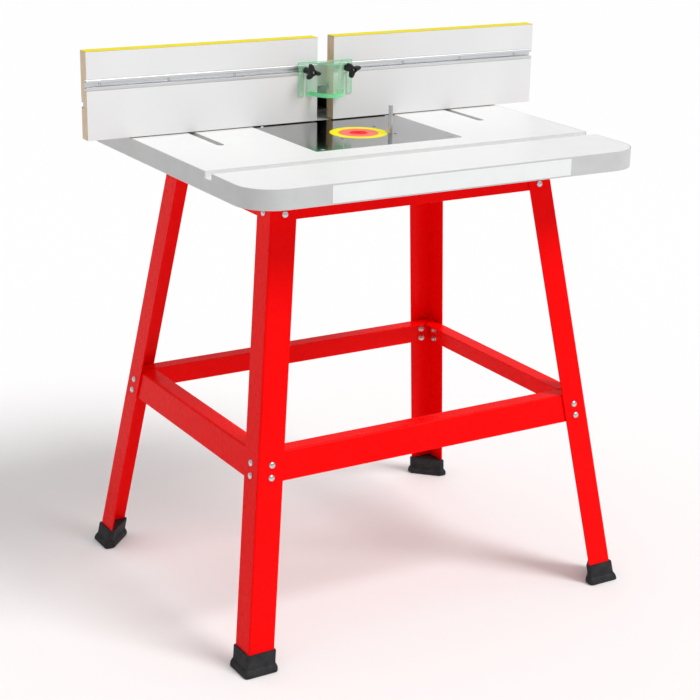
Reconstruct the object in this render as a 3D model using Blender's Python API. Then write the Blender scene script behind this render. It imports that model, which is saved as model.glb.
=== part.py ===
"""Free-standing router table: melamine top, sliding two-board fence, bit guard and splayed steel stand.

The model stands on the floor at Z = 0 with its centre over the origin.
+X is right, -Y is the operator's side, +Z is up. All sizes are in metres.
"""
import math

import bmesh
import bpy
from mathutils import Matrix

# Clearance between pieces that touch each other, clearance of a loose hole, and how far cutters overshoot.
FIT_GAP = 0.0003
LOOSE = 0.0005
OVERSHOOT = 0.010

# Table top and its edge banding.
TOP_WIDTH = 0.800
TOP_DEPTH = 0.690
TOP_THICKNESS = 0.035
TOP_HEIGHT = 0.865
TOP_CORNER_RADIUS = 0.065
BAND_THICKNESS = 0.0017
TOP_UNDERSIDE = TOP_HEIGHT - TOP_THICKNESS

# Mitre groove across the top, in front of the plate.
GROOVE_CENTRE_Y = -0.1835
GROOVE_WIDTH = 0.027
GROOVE_DEPTH = 0.012

# T-shaped fence slots, open at the back edge of the top.
SLOT_X = 0.280
SLOT_FRONT_Y = 0.004
SLOT_WIDTH = 0.014
SLOT_LIP = 0.014
CHANNEL_WIDTH = 0.024
CHANNEL_HEIGHT = 0.010

# Blank strip on the front edge.
STRIP_LENGTH = 0.486
STRIP_HEIGHT = 0.030
STRIP_THICKNESS = 0.0005
STRIP_CENTRE_X = -0.012
STRIP_GAP = 0.0001

# Router plate and its nested inserts.
PLATE_WIDTH = 0.310
PLATE_DEPTH = 0.250
PLATE_THICKNESS = 0.007
PLATE_CENTRE_Y = 0.010
PLATE_CORNER_RADIUS = 0.004
PLATE_OPENING_WIDTH = 0.258
PLATE_OPENING_DEPTH = 0.208
PLATE_OPENING_CORNER = 0.020
BIT_CENTRE_Y = 0.002
INSERT_THICKNESS = 0.003
INSERT_RADII = (0.054, 0.037, 0.017)
INSERT_STEP = 0.004
PLATE_SCREW_X = 0.136
PLATE_SCREW_Y = 0.114
PLATE_SCREW_HEAD_RADIUS = 0.0046
PLATE_SCREW_SHANK_RADIUS = 0.0025
PLATE_SCREW_LENGTH = 0.018
PILOT_DEPTH = 0.020
ROUTER_HOLE_X = 0.057
ROUTER_HOLE_Y = 0.038
ROUTER_HOLE_RADIUS = 0.003
ROUTER_SEAT_RADIUS = 0.082
ROUTER_SEAT_DEPTH = 0.0005

# Starter pin in the plate.
PIN_X = 0.052
PIN_Y = -0.026
PIN_RADIUS = 0.004
PIN_TOP = 0.917
PIN_BOTTOM = 0.850
PIN_CHAMFER = 0.001

# Steel stand: the outer corner of each leg at the top and at the floor.
LEG_TOP_CORNER = (0.288, 0.200)
LEG_FLOOR_CORNER = (0.404, 0.331)
LEG_FLANGE = 0.050
STEEL = 0.003
FOOT_FLOOR = 0.005
UPPER_RAIL_HEIGHT = 0.056
STRETCHER_LOW = 0.330
STRETCHER_HEIGHT = 0.052
RAIL_FLANGE = 0.032
RAIL_END_GAP = 0.007

# Rubber feet.
FOOT_HEIGHT = 0.038
FOOT_WALL = 0.0035
FOOT_SKIRT = 0.008
FOOT_SKIRT_TOP = 0.004
FOOT_WAIST = 0.012
FOOT_WAIST_WALL = 0.005

# Fence boards, T-tracks and top strips.
FENCE_FRONT_Y = 0.127
BOARD_THICKNESS = 0.025
BOARD_BOTTOM = 0.8668
BOARD_TOP = 1.0237
BOARD_INNER_X = 0.0175
BOARD_OUTER_X = 0.482
TOP_STRIP_THICKNESS = 0.001
FRONT_TRACK_Z = 0.965
FRONT_TRACK_HEIGHT = 0.0196
FRONT_TRACK_DEPTH = 0.0092
BACK_TRACK_Z = 0.9285
BACK_TRACK_HEIGHT = 0.0176
BACK_TRACK_DEPTH = 0.0088
TRACK_WALL = 0.0017
TRACK_OPENING = 0.008

# Fence bracket behind the boards and the dust hood on it.
BRACKET_HALF_LENGTH = 0.400
BRACKET_FRONT_Y = 0.1525
BRACKET_PLATE = 0.0045
BRACKET_BASE = 0.006
BRACKET_BOTTOM = 0.866
BRACKET_TOP = 0.972
BRACKET_BACK_Y = 0.240
CHIP_OPENING_HALF_WIDTH = 0.040
CHIP_OPENING_TOP = 0.928
CHIP_OPENING_BACK_Y = 0.205
HOOD_HALF_WIDTH = 0.047
HOOD_WALL = 0.003
HOOD_BACK_Y = 0.236
HOOD_TOP = 0.950
HOOD_EAR = 0.013
PORT_RADIUS = 0.0315
PORT_Z = 0.911
PORT_BACK_Y = 0.276

# Clamping bolts and three-lobed knobs.
CLAMP_Y = 0.195
CLAMP_BOLT_RADIUS = 0.004
BOARD_BOLT_X = (0.130, 0.360)
SMALL_BOLT_RADIUS = 0.003
BOLT_HEAD = 0.012
BOLT_HEAD_THICKNESS = 0.004
CLAMP_HEAD = 0.021
CLAMP_HEAD_THICKNESS = 0.007
CLAMP_HEAD_GAP = 0.0015
CLAMP_BOLT_TOP = 0.905
CLAMP_KNOB_TIP = 0.020
CLAMP_KNOB_HEAD = 0.016
CLAMP_KNOB_LENGTH = 0.030
CLAMP_KNOB_TURN = 20
BOARD_HEAD_GAP = 0.0007
BOARD_BOLT_LENGTH = 0.040
BOARD_KNOB_TIP = 0.0175
BOARD_KNOB_HEAD = 0.014
BOARD_KNOB_LENGTH = 0.028
KNOB_STEM_RADIUS = 0.0062
KNOB_SEGMENTS = 24
LOBE_POWER = 1.6

# Clear bit guard on the front T-tracks.
GUARD_X = -0.001
GUARD_BOLT_X = 0.0435
GUARD_HALF_WIDTH = 0.058
GUARD_BOTTOM = 0.916
GUARD_TOP = 0.980
GUARD_FLANGE = 0.003
GUARD_WALL = 0.003
VISOR_HALF_WIDTH = 0.032
VISOR_DEPTH = 0.041
GUARD_SLOT_WIDTH = 0.0066
GUARD_SLOT_RISE = 0.001
GUARD_HEAD_GAP = 0.0012
GUARD_BOLT_LENGTH = 0.040
GUARD_KNOB_TIP = 0.0165
GUARD_KNOB_HEAD = 0.012
GUARD_KNOB_LENGTH = 0.034
GUARD_KNOB_TURN = 13

SIDES = (("left", -1), ("right", 1))
CORNERS = (("front_left", -1, -1), ("front_right", 1, -1), ("back_left", -1, 1), ("back_right", 1, 1))


# ---------------------------------------------------------------- materials

MATERIALS = {
    "white_melamine": ((0.90, 0.90, 0.89), 0.35, 0.0),
    "grey_edging": ((0.52, 0.52, 0.52), 0.45, 0.0),
    "white_label": ((0.92, 0.92, 0.92), 0.25, 0.0),
    "dark_plate": ((0.10, 0.10, 0.10), 0.15, 0.6),
    "yellow_plastic": ((0.95, 0.80, 0.02), 0.35, 0.0),
    "pink_plastic": ((0.92, 0.28, 0.25), 0.35, 0.0),
    "red_plastic": ((0.85, 0.02, 0.03), 0.35, 0.0),
    "polished_steel": ((0.65, 0.65, 0.66), 0.20, 1.0),
    "zinc_steel": ((0.60, 0.61, 0.63), 0.35, 1.0),
    "red_paint": ((0.75, 0.01, 0.01), 0.30, 0.0),
    "black_rubber": ((0.03, 0.03, 0.035), 0.60, 0.0),
    "white_board": ((0.85, 0.85, 0.86), 0.45, 0.0),
    "aluminium": ((0.70, 0.71, 0.73), 0.35, 1.0),
    "yellow_edging": ((0.95, 0.85, 0.02), 0.40, 0.0),
    "black_plastic": ((0.02, 0.02, 0.02), 0.50, 0.0),
    "knob_plastic": ((0.07, 0.07, 0.08), 0.50, 0.0),
    "clear_green": ((0.45, 0.90, 0.55), 0.10, 0.0),
}


def clear_scene():
    """Remove every object of the open scene."""
    for item in list(bpy.data.objects):
        bpy.data.objects.remove(item, do_unlink=True)


def make_material(name):
    """A Principled material with this name's colour, roughness and metallic value."""
    colour, roughness, metallic = MATERIALS[name]
    material = bpy.data.materials.new(name)
    material.use_nodes = True
    shader = material.node_tree.nodes["Principled BSDF"]
    shader.inputs["Base Color"].default_value = (*colour, 1.0)
    shader.inputs["Roughness"].default_value = roughness
    shader.inputs["Metallic"].default_value = metallic
    return material


# ------------------------------------------------------------ mesh building

def finish_mesh(name, build):
    """Turn a bmesh into a mesh whose faces all point out."""
    bmesh.ops.recalc_face_normals(build, faces=build.faces)
    mesh = bpy.data.meshes.new(name)
    build.to_mesh(mesh)
    build.free()
    return mesh


def ring_mesh(name, rings, capped=True):
    """Skin a stack of rings that have equal numbers of points, capping the ends or closing the loop."""
    build = bmesh.new()
    loops = [[build.verts.new(point) for point in ring] for ring in rings]
    pairs = list(zip(loops, loops[1:]))
    if capped:
        build.faces.new(loops[0])
        build.faces.new(loops[-1])
    else:
        pairs.append((loops[-1], loops[0]))
    count = len(loops[0])
    for low, high in pairs:
        for index in range(count):
            following = (index + 1) % count
            build.faces.new((low[index], low[following], high[following], high[index]))
    return finish_mesh(name, build)


def extrude_mesh(name, outline, axis, start, end):
    """Extrude an outline along X (points y, z), Y (points x, z) or Z (points x, y)."""
    def place(point, along):
        if axis == "X":
            return (along, point[0], point[1])
        if axis == "Y":
            return (point[0], along, point[1])
        return (point[0], point[1], along)
    return ring_mesh(name, [[place(point, along) for point in outline] for along in (start, end)])


def box_mesh(name, low, high):
    """A box between two corners."""
    outline = [(low[0], low[1]), (high[0], low[1]), (high[0], high[1]), (low[0], high[1])]
    return extrude_mesh(name, outline, "Z", low[2], high[2])


def circle(radius, segments, centre=(0.0, 0.0)):
    """Points of a circle."""
    turns = [2 * math.pi * index / segments for index in range(segments)]
    return [(centre[0] + radius * math.cos(turn), centre[1] + radius * math.sin(turn)) for turn in turns]


def rounded_rectangle(width, depth, radius, segments, centre=(0.0, 0.0)):
    """Outline of a rectangle with round corners."""
    points = []
    for quarter, (side_x, side_y) in enumerate(((1, 1), (-1, 1), (-1, -1), (1, -1))):
        for step in range(segments + 1):
            turn = math.pi / 2 * (quarter + step / segments)
            points.append((centre[0] + side_x * (width / 2 - radius) + radius * math.cos(turn),
                           centre[1] + side_y * (depth / 2 - radius) + radius * math.sin(turn)))
    return points


def square_ring(half, segments):
    """Points around a square, as many as on a circle of the same segments."""
    points = []
    for x, y in circle(1.0, segments):
        scale = half / max(abs(x), abs(y))
        points.append((x * scale, y * scale))
    return points


def lobed_ring(root, tip, segments):
    """Outline with three tapered lobes."""
    points = []
    for index in range(segments):
        turn = 2 * math.pi * index / segments
        lobe = (0.5 + 0.5 * math.cos(3 * turn)) ** LOBE_POWER
        radius = root + (tip - root) * lobe
        points.append((radius * math.cos(turn), radius * math.sin(turn)))
    return points


def at_height(points, height):
    """Lift flat points to a height."""
    return [(x, y, height) for x, y in points]


def mirrored(mesh, side_x, side_y):
    """Turn a mesh that was made for the +X +Y corner over to another corner."""
    build = bmesh.new()
    build.from_mesh(mesh)
    bmesh.ops.scale(build, vec=(side_x, side_y, 1), verts=build.verts)
    bmesh.ops.recalc_face_normals(build, faces=build.faces)
    build.to_mesh(mesh)
    build.free()
    return mesh


# ------------------------------------------------------- objects and cutters

def add_piece(name, mesh, material, parent=None, location=(0, 0, 0), turn=None):
    """Add one piece of the assembly."""
    item = bpy.data.objects.new(name, mesh)
    bpy.context.scene.collection.objects.link(item)
    if not mesh.materials:
        mesh.materials.append(material)
    if parent is not None:
        item.parent = parent
    item.location = location
    if turn is not None:
        item.rotation_euler = turn
    return item


def add_cutter(name, mesh):
    """Add a hidden solid that shapes other pieces."""
    item = bpy.data.objects.new(name, mesh)
    bpy.context.scene.collection.objects.link(item)
    item.hide_render = True
    item.display_type = "WIRE"
    return item


def add_axis(name, location=(0, 0, 0), parent=None):
    """Add an empty that carries a moving group."""
    empty = bpy.data.objects.new(name, None)
    bpy.context.scene.collection.objects.link(empty)
    empty.parent = parent
    empty.location = location
    return empty


def shape_with(item, cutter, operation="DIFFERENCE"):
    """Cut a piece with a hidden solid, or join the solid to it."""
    modifier = item.modifiers.new(cutter.name, "BOOLEAN")
    modifier.operation = operation
    modifier.solver = "EXACT"
    modifier.object = cutter


def shade_round(mesh, angle=30):
    """Shade round surfaces smooth and keep real edges sharp."""
    mesh.shade_smooth()
    mesh.set_sharp_from_angle(angle=math.radians(angle))


# ------------------------------------------------------------------- table

def groove_cutter():
    """Mitre groove, right across the top."""
    half = GROOVE_WIDTH / 2
    reach = TOP_WIDTH / 2 + OVERSHOOT
    return add_cutter("groove_cutter", box_mesh(
        "groove_cutter", (-reach, GROOVE_CENTRE_Y - half, TOP_HEIGHT - GROOVE_DEPTH),
        (reach, GROOVE_CENTRE_Y + half, TOP_HEIGHT + OVERSHOOT)))


def slot_outline(centre_x, width):
    """Plan of a fence slot: round at the front end, open past the back edge."""
    radius = width / 2
    back = TOP_DEPTH / 2 + OVERSHOOT
    points = [(centre_x + radius, back), (centre_x - radius, back)]
    for step in range(9):
        turn = math.pi * (1 + step / 8)
        points.append((centre_x + radius * math.cos(turn),
                       SLOT_FRONT_Y + SLOT_WIDTH / 2 + radius * math.sin(turn)))
    return points


def slot_cutters():
    """Throat and wider channel of both T-shaped fence slots."""
    cutters = []
    lip_bottom = TOP_HEIGHT - SLOT_LIP
    for side, sign in SIDES:
        throat = extrude_mesh("throat", slot_outline(sign * SLOT_X, SLOT_WIDTH), "Z",
                              lip_bottom - FIT_GAP, TOP_HEIGHT + OVERSHOOT)
        channel = extrude_mesh("channel", slot_outline(sign * SLOT_X, CHANNEL_WIDTH), "Z",
                               lip_bottom - CHANNEL_HEIGHT, lip_bottom)
        cutters.append(add_cutter(side + "_throat_cutter", throat))
        cutters.append(add_cutter(side + "_channel_cutter", channel))
    return cutters


def screw_places():
    """Centres of the four plate screws."""
    return [(sx * PLATE_SCREW_X, PLATE_CENTRE_Y + sy * PLATE_SCREW_Y) for _, sx, sy in CORNERS]


def build_top(materials):
    """Table top with plate recess, groove and slots, its edge banding and the blank front strip."""
    inset = 2 * (BAND_THICKNESS + FIT_GAP)
    outline = rounded_rectangle(TOP_WIDTH - inset, TOP_DEPTH - inset,
                                TOP_CORNER_RADIUS - inset / 2, 8)
    top = add_piece("tabletop", extrude_mesh("tabletop", outline, "Z", TOP_UNDERSIDE, TOP_HEIGHT),
                    materials["white_melamine"])
    rim = 2 * BAND_THICKNESS
    inner = rounded_rectangle(TOP_WIDTH - rim, TOP_DEPTH - rim, TOP_CORNER_RADIUS - rim / 2, 8)
    outer = rounded_rectangle(TOP_WIDTH, TOP_DEPTH, TOP_CORNER_RADIUS, 8)
    band = add_piece("edge_band", ring_mesh("edge_band", [
        at_height(outer, TOP_UNDERSIDE), at_height(outer, TOP_HEIGHT),
        at_height(inner, TOP_HEIGHT), at_height(inner, TOP_UNDERSIDE)], capped=False),
        materials["grey_edging"])

    for cutter in [groove_cutter()] + slot_cutters():
        shape_with(top, cutter)
        shape_with(band, cutter)

    recess = rounded_rectangle(PLATE_WIDTH + 2 * FIT_GAP, PLATE_DEPTH + 2 * FIT_GAP,
                               PLATE_CORNER_RADIUS + FIT_GAP, 3, (0, PLATE_CENTRE_Y))
    recess_floor = TOP_HEIGHT - PLATE_THICKNESS - FIT_GAP
    shape_with(top, add_cutter("recess_cutter", extrude_mesh(
        "recess_cutter", recess, "Z", recess_floor, TOP_HEIGHT + OVERSHOOT)))
    opening = rounded_rectangle(PLATE_OPENING_WIDTH, PLATE_OPENING_DEPTH, PLATE_OPENING_CORNER, 4,
                                (0, PLATE_CENTRE_Y))
    shape_with(top, add_cutter("opening_cutter", extrude_mesh(
        "opening_cutter", opening, "Z", TOP_UNDERSIDE - OVERSHOOT, TOP_HEIGHT)))
    for number, (x, y) in enumerate(screw_places(), 1):
        pilot = circle(PLATE_SCREW_SHANK_RADIUS + FIT_GAP, 10, (x, y))
        shape_with(top, add_cutter("pilot_cutter_%d" % number, extrude_mesh(
            "pilot", pilot, "Z", TOP_HEIGHT - PILOT_DEPTH, TOP_HEIGHT)))

    strip_y = -TOP_DEPTH / 2 - STRIP_GAP
    middle = TOP_HEIGHT - TOP_THICKNESS / 2
    add_piece("front_strip", box_mesh(
        "front_strip",
        (STRIP_CENTRE_X - STRIP_LENGTH / 2, strip_y - STRIP_THICKNESS, middle - STRIP_HEIGHT / 2),
        (STRIP_CENTRE_X + STRIP_LENGTH / 2, strip_y, middle + STRIP_HEIGHT / 2)),
        materials["white_label"])


def screw_profile(gap):
    """Radius and depth of a countersunk screw, larger by a gap for its hole."""
    head = PLATE_SCREW_HEAD_RADIUS + gap
    shank = PLATE_SCREW_SHANK_RADIUS + gap
    return head, shank, head - shank


def build_plate(materials):
    """Router plate with its stepped opening, holes and four countersunk screws."""
    plate = add_piece("router_plate", extrude_mesh(
        "router_plate", rounded_rectangle(PLATE_WIDTH, PLATE_DEPTH, PLATE_CORNER_RADIUS, 3,
                                          (0, PLATE_CENTRE_Y)),
        "Z", TOP_HEIGHT - PLATE_THICKNESS, TOP_HEIGHT), materials["dark_plate"])
    under = TOP_HEIGHT - PLATE_THICKNESS - OVERSHOOT
    over = TOP_HEIGHT + OVERSHOOT
    ledge = TOP_HEIGHT - INSERT_THICKNESS - FIT_GAP
    wide = INSERT_RADII[0] + FIT_GAP
    seat = circle(wide, 48, (0, BIT_CENTRE_Y))
    bore = circle(wide - INSERT_STEP, 48, (0, BIT_CENTRE_Y))
    shape_with(plate, add_cutter("seat_cutter", extrude_mesh("seat", seat, "Z", ledge, over)))
    shape_with(plate, add_cutter("bore_cutter", extrude_mesh("bore", bore, "Z", under, over)))
    base = circle(ROUTER_SEAT_RADIUS, 32, (0, BIT_CENTRE_Y))
    shape_with(plate, add_cutter("router_seat_cutter", extrude_mesh(
        "router_seat", base, "Z", under, TOP_HEIGHT - PLATE_THICKNESS + ROUTER_SEAT_DEPTH)))
    pin_hole = circle(PIN_RADIUS + FIT_GAP, 16, (PIN_X, PIN_Y))
    shape_with(plate, add_cutter("pin_hole_cutter", extrude_mesh("pin_hole", pin_hole, "Z", under, over)))
    for name, sx, sy in CORNERS:
        hole = circle(ROUTER_HOLE_RADIUS, 12, (sx * ROUTER_HOLE_X, BIT_CENTRE_Y + sy * ROUTER_HOLE_Y))
        shape_with(plate, add_cutter("router_hole_" + name, extrude_mesh(
            "router_hole", hole, "Z", under, over)))

    head, shank, depth = screw_profile(FIT_GAP)
    screw_head, screw_shank, screw_depth = screw_profile(0.0)
    for (name, _, _), (x, y) in zip(CORNERS, screw_places()):
        sink = ring_mesh("sink", [
            at_height(circle(shank, 12, (x, y)), under),
            at_height(circle(shank, 12, (x, y)), TOP_HEIGHT - depth),
            at_height(circle(head, 12, (x, y)), TOP_HEIGHT),
            at_height(circle(head, 12, (x, y)), over)])
        shape_with(plate, add_cutter("sink_cutter_" + name, sink))
        screw = ring_mesh("plate_screw", [
            at_height(circle(screw_shank, 12), -PLATE_SCREW_LENGTH),
            at_height(circle(screw_shank, 12), -screw_depth - FIT_GAP),
            at_height(circle(screw_head, 12), -FIT_GAP)])
        shade_round(screw)
        add_piece("plate_screw_" + name, screw, materials["zinc_steel"], location=(x, y, TOP_HEIGHT))


def build_inserts(materials):
    """Two nested rings and the disc that close the bit opening down in steps."""
    names = ("outer_insert_ring", "middle_insert_ring", "inner_insert_disc")
    colours = ("yellow_plastic", "pink_plastic", "red_plastic")
    top = TOP_HEIGHT
    flange = TOP_HEIGHT - INSERT_THICKNESS
    bottom = flange - INSERT_THICKNESS
    for level, radius in enumerate(INSERT_RADII):
        spigot = radius - INSERT_STEP - FIT_GAP
        rings = [(spigot, bottom), (spigot, flange), (radius, flange), (radius, top)]
        capped = level == len(INSERT_RADII) - 1
        if not capped:
            inside = INSERT_RADII[level + 1] + FIT_GAP
            ledge = flange - FIT_GAP
            rings += [(inside, top), (inside, ledge), (inside - INSERT_STEP, ledge),
                      (inside - INSERT_STEP, bottom)]
        mesh = ring_mesh(names[level], [at_height(circle(size, 48), height) for size, height in rings],
                         capped=capped)
        shade_round(mesh)
        add_piece(names[level], mesh, materials[colours[level]], location=(0, BIT_CENTRE_Y, 0))


def build_pin(materials):
    """Steel starter pin, which screws up out of the plate."""
    lift = add_axis("starter_pin_axis", (PIN_X, PIN_Y, TOP_HEIGHT))
    mesh = ring_mesh("starter_pin", [
        at_height(circle(PIN_RADIUS, 16), PIN_BOTTOM - TOP_HEIGHT),
        at_height(circle(PIN_RADIUS, 16), PIN_TOP - TOP_HEIGHT - PIN_CHAMFER),
        at_height(circle(PIN_RADIUS - PIN_CHAMFER, 16), PIN_TOP - TOP_HEIGHT)])
    shade_round(mesh)
    add_piece("starter_pin", mesh, materials["polished_steel"], parent=lift)


# ------------------------------------------------------------------- stand

def leg_corner(height):
    """Outer corner of the back right leg at a height."""
    part = 1 - height / TOP_UNDERSIDE
    return tuple(top + (floor - top) * part for top, floor in zip(LEG_TOP_CORNER, LEG_FLOOR_CORNER))


def leg_section(height, gap=0.0):
    """Angle section of the back right leg at a height, grown by a gap."""
    x, y = leg_corner(height)
    outer_x, outer_y = x + gap, y + gap
    inner_x, inner_y = x - STEEL - gap, y - STEEL - gap
    tip_x, tip_y = x - LEG_FLANGE - gap, y - LEG_FLANGE - gap
    flat = [(outer_x, outer_y), (tip_x, outer_y), (tip_x, inner_y),
            (inner_x, inner_y), (inner_x, tip_y), (outer_x, tip_y)]
    return at_height(flat, height)


def boot_section(height, grow):
    """Plan of a rubber foot at a height: two straight outer sides and a diagonal inner side."""
    x, y = leg_corner(height)
    reach = LEG_FLANGE + grow
    thick = STEEL + grow
    flat = [(x + grow, y + grow), (x - reach, y + grow), (x - reach, y - thick),
            (x - thick, y - reach), (x + grow, y - reach)]
    return at_height(flat, height)


def build_legs_and_feet(materials):
    """Four splayed angle legs, each in a rubber foot."""
    for name, sx, sy in CORNERS:
        leg = ring_mesh("leg", [leg_section(FOOT_FLOOR + FIT_GAP), leg_section(TOP_UNDERSIDE - FIT_GAP)])
        add_piece("leg_" + name, mirrored(leg, sx, sy), materials["red_paint"])
        boot = ring_mesh("foot", [
            boot_section(0.0, FOOT_SKIRT), boot_section(FOOT_SKIRT_TOP, FOOT_SKIRT),
            boot_section(FOOT_WAIST, FOOT_WAIST_WALL), boot_section(FOOT_HEIGHT, FOOT_WALL)])
        foot = add_piece("foot_" + name, mirrored(boot, sx, sy), materials["black_rubber"])
        socket = ring_mesh("socket", [leg_section(FOOT_FLOOR, FIT_GAP),
                                      leg_section(FOOT_HEIGHT + OVERSHOOT, FIT_GAP)])
        shape_with(foot, add_cutter("socket_cutter_" + name, mirrored(socket, sx, sy)))


def rail_mesh(along, low, height):
    """Angle rail between two legs: an upright web with a flange inwards along its top edge.

    along is 0 for a rail that runs in X and 1 for one that runs in Y. Its ends are mitred.
    """
    across = 1 - along
    high = low + height

    def half_length(level):
        return leg_corner(level)[along] - STEEL - RAIL_END_GAP

    def outside(level):
        return leg_corner(level)[across] - STEEL - FIT_GAP

    under = high - STEEL
    web_tip = outside(high) - STEEL
    flange_tip = outside(high) - RAIL_FLANGE
    mitre = RAIL_FLANGE - STEEL
    # Each corner: distance across, level, half length.
    section = [
        (outside(low), low, half_length(low)),
        (outside(low) - STEEL, low, half_length(low)),
        (web_tip, under, half_length(under)),
        (flange_tip, under, half_length(under) - mitre),
        (flange_tip, high, half_length(high) - mitre),
        (outside(high), high, half_length(high)),
    ]
    build = bmesh.new()
    ends = []
    for sign in (-1, 1):
        end = []
        for distance, level, half in section:
            flat = (sign * half, distance) if along == 0 else (distance, sign * half)
            end.append(build.verts.new((*flat, level)))
        ends.append(end)
    first, second = ends
    for index in range(6):
        following = (index + 1) % 6
        build.faces.new((first[index], first[following], second[following], second[index]))
    for end in ends:
        build.faces.new((end[0], end[1], end[2], end[5]))
        build.faces.new((end[2], end[3], end[4]))
        build.faces.new((end[2], end[4], end[5]))
    return finish_mesh("rail", build)


def build_rails(materials):
    """Upper rails under the top and lower stretchers between the legs."""
    rows = (("upper_rail_", TOP_UNDERSIDE - FIT_GAP - UPPER_RAIL_HEIGHT, UPPER_RAIL_HEIGHT),
            ("stretcher_", STRETCHER_LOW, STRETCHER_HEIGHT))
    sides = (("front", 0, 1, -1), ("back", 0, 1, 1), ("left", 1, -1, 1), ("right", 1, 1, 1))
    for prefix, low, height in rows:
        for side, along, sx, sy in sides:
            add_piece(prefix + side, mirrored(rail_mesh(along, low, height), sx, sy),
                      materials["red_paint"])


# -------------------------------------------------------- bolts and knobs

def bolt_mesh(name, head, head_thickness, radius, length):
    """Square-headed bolt along +Z from its head at Z = 0."""
    rings = [at_height(square_ring(head / 2, 16), 0.0), at_height(square_ring(head / 2, 16), head_thickness),
             at_height(circle(radius, 16), head_thickness), at_height(circle(radius, 16), length)]
    mesh = ring_mesh(name, rings)
    shade_round(mesh)
    return mesh


def knob_mesh(name, tip, head_height, length, bore):
    """Three-lobed knob along +Z on a round stem, bored right through."""
    stem = circle(KNOB_STEM_RADIUS, KNOB_SEGMENTS)
    lobes = lobed_ring(KNOB_STEM_RADIUS, tip, KNOB_SEGMENTS)
    hole = circle(bore, KNOB_SEGMENTS)
    rings = [at_height(stem, 0.0), at_height(stem, length - head_height),
             at_height(lobes, length - head_height), at_height(lobes, length),
             at_height(hole, length), at_height(hole, 0.0)]
    mesh = ring_mesh(name, rings, capped=False)
    shade_round(mesh, 40)
    return mesh


def knob_on(name, mesh, material, parent, location, turn):
    """Add a knob under an empty on its own axis."""
    axis = add_axis(name + "_axis", location, parent)
    axis.rotation_euler = turn
    add_piece(name, mesh, material, parent=axis)


# ------------------------------------------------------------------- fence

def track_outline(mouth_y, centre_z, height, depth, inward):
    """C-shaped section of a T-track, as y, z points. inward is +1 or -1 along Y into the board."""
    half = height / 2
    lip = TRACK_OPENING / 2
    wall = TRACK_WALL
    flat = [(0, lip), (0, half), (depth, half), (depth, -half), (0, -half), (0, -lip), (wall, -lip),
            (wall, wall - half), (depth - wall, wall - half), (depth - wall, half - wall),
            (wall, half - wall), (wall, lip)]
    return [(mouth_y + inward * y, centre_z + z) for y, z in flat]


def build_fence_board(side, sign, body, materials):
    """One fence board with a T-track in each face and a strip on its top edge."""
    back_y = FENCE_FRONT_Y + BOARD_THICKNESS
    ends = sorted((sign * BOARD_INNER_X, sign * BOARD_OUTER_X))
    board = add_piece(side + "_fence_board", box_mesh(
        "fence_board", (ends[0], FENCE_FRONT_Y, BOARD_BOTTOM), (ends[1], back_y, BOARD_TOP)),
        materials["white_board"], parent=body)
    tracks = (("front", FENCE_FRONT_Y, 1, FRONT_TRACK_Z, FRONT_TRACK_HEIGHT, FRONT_TRACK_DEPTH),
              ("back", back_y, -1, BACK_TRACK_Z, BACK_TRACK_HEIGHT, BACK_TRACK_DEPTH))
    for face, mouth, inward, centre_z, height, depth in tracks:
        floor = mouth + inward * (depth + FIT_GAP)
        open_end = mouth - inward * OVERSHOOT
        half = height / 2 + FIT_GAP
        shape_with(board, add_cutter("%s_%s_groove" % (side, face), box_mesh(
            "groove", (ends[0] - OVERSHOOT, min(floor, open_end), centre_z - half),
            (ends[1] + OVERSHOOT, max(floor, open_end), centre_z + half))))
        outline = track_outline(mouth, centre_z, height, depth, inward)
        add_piece("%s_%s_track" % (side, face), extrude_mesh("track", outline, "X", *ends),
                  materials["aluminium"], parent=body)
    strip_low = BOARD_TOP + FIT_GAP
    add_piece(side + "_top_strip", box_mesh(
        "top_strip", (ends[0], FENCE_FRONT_Y, strip_low),
        (ends[1], back_y, strip_low + TOP_STRIP_THICKNESS)), materials["yellow_edging"], parent=body)


def board_bolt_places():
    """Name and x of the four bolts that clamp the boards to the bracket."""
    places = []
    for side, sign in SIDES:
        for where, distance in zip(("inner", "outer"), BOARD_BOLT_X):
            places.append(("%s_%s" % (side, where), sign * distance))
    return places


def build_bracket(carriage, materials):
    """Aluminium angle that carries the boards, with its chip opening and bolt holes."""
    plate_back = BRACKET_FRONT_Y + BRACKET_PLATE
    base_top = BRACKET_BOTTOM + BRACKET_BASE
    outline = [(BRACKET_FRONT_Y, BRACKET_BOTTOM), (BRACKET_BACK_Y, BRACKET_BOTTOM),
               (BRACKET_BACK_Y, base_top), (plate_back, base_top),
               (plate_back, BRACKET_TOP), (BRACKET_FRONT_Y, BRACKET_TOP)]
    bracket = add_piece("fence_bracket", extrude_mesh(
        "fence_bracket", outline, "X", -BRACKET_HALF_LENGTH, BRACKET_HALF_LENGTH),
        materials["aluminium"], parent=carriage)
    half = CHIP_OPENING_HALF_WIDTH
    shape_with(bracket, add_cutter("chip_opening_cutter", box_mesh(
        "chip_opening", (-half, BRACKET_FRONT_Y - OVERSHOOT, BRACKET_BOTTOM - OVERSHOOT),
        (half, CHIP_OPENING_BACK_Y, CHIP_OPENING_TOP))))
    for side, sign in SIDES:
        hole = circle(CLAMP_BOLT_RADIUS + LOOSE, 16, (sign * SLOT_X, CLAMP_Y))
        shape_with(bracket, add_cutter(side + "_clamp_hole", extrude_mesh(
            "clamp_hole", hole, "Z", BRACKET_BOTTOM - OVERSHOOT, base_top + OVERSHOOT)))
    for name, x in board_bolt_places():
        hole = circle(SMALL_BOLT_RADIUS + LOOSE, 12, (x, BACK_TRACK_Z))
        shape_with(bracket, add_cutter(name + "_bolt_hole", extrude_mesh(
            "bolt_hole", hole, "Y", BRACKET_FRONT_Y - OVERSHOOT, plate_back + OVERSHOOT)))


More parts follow.
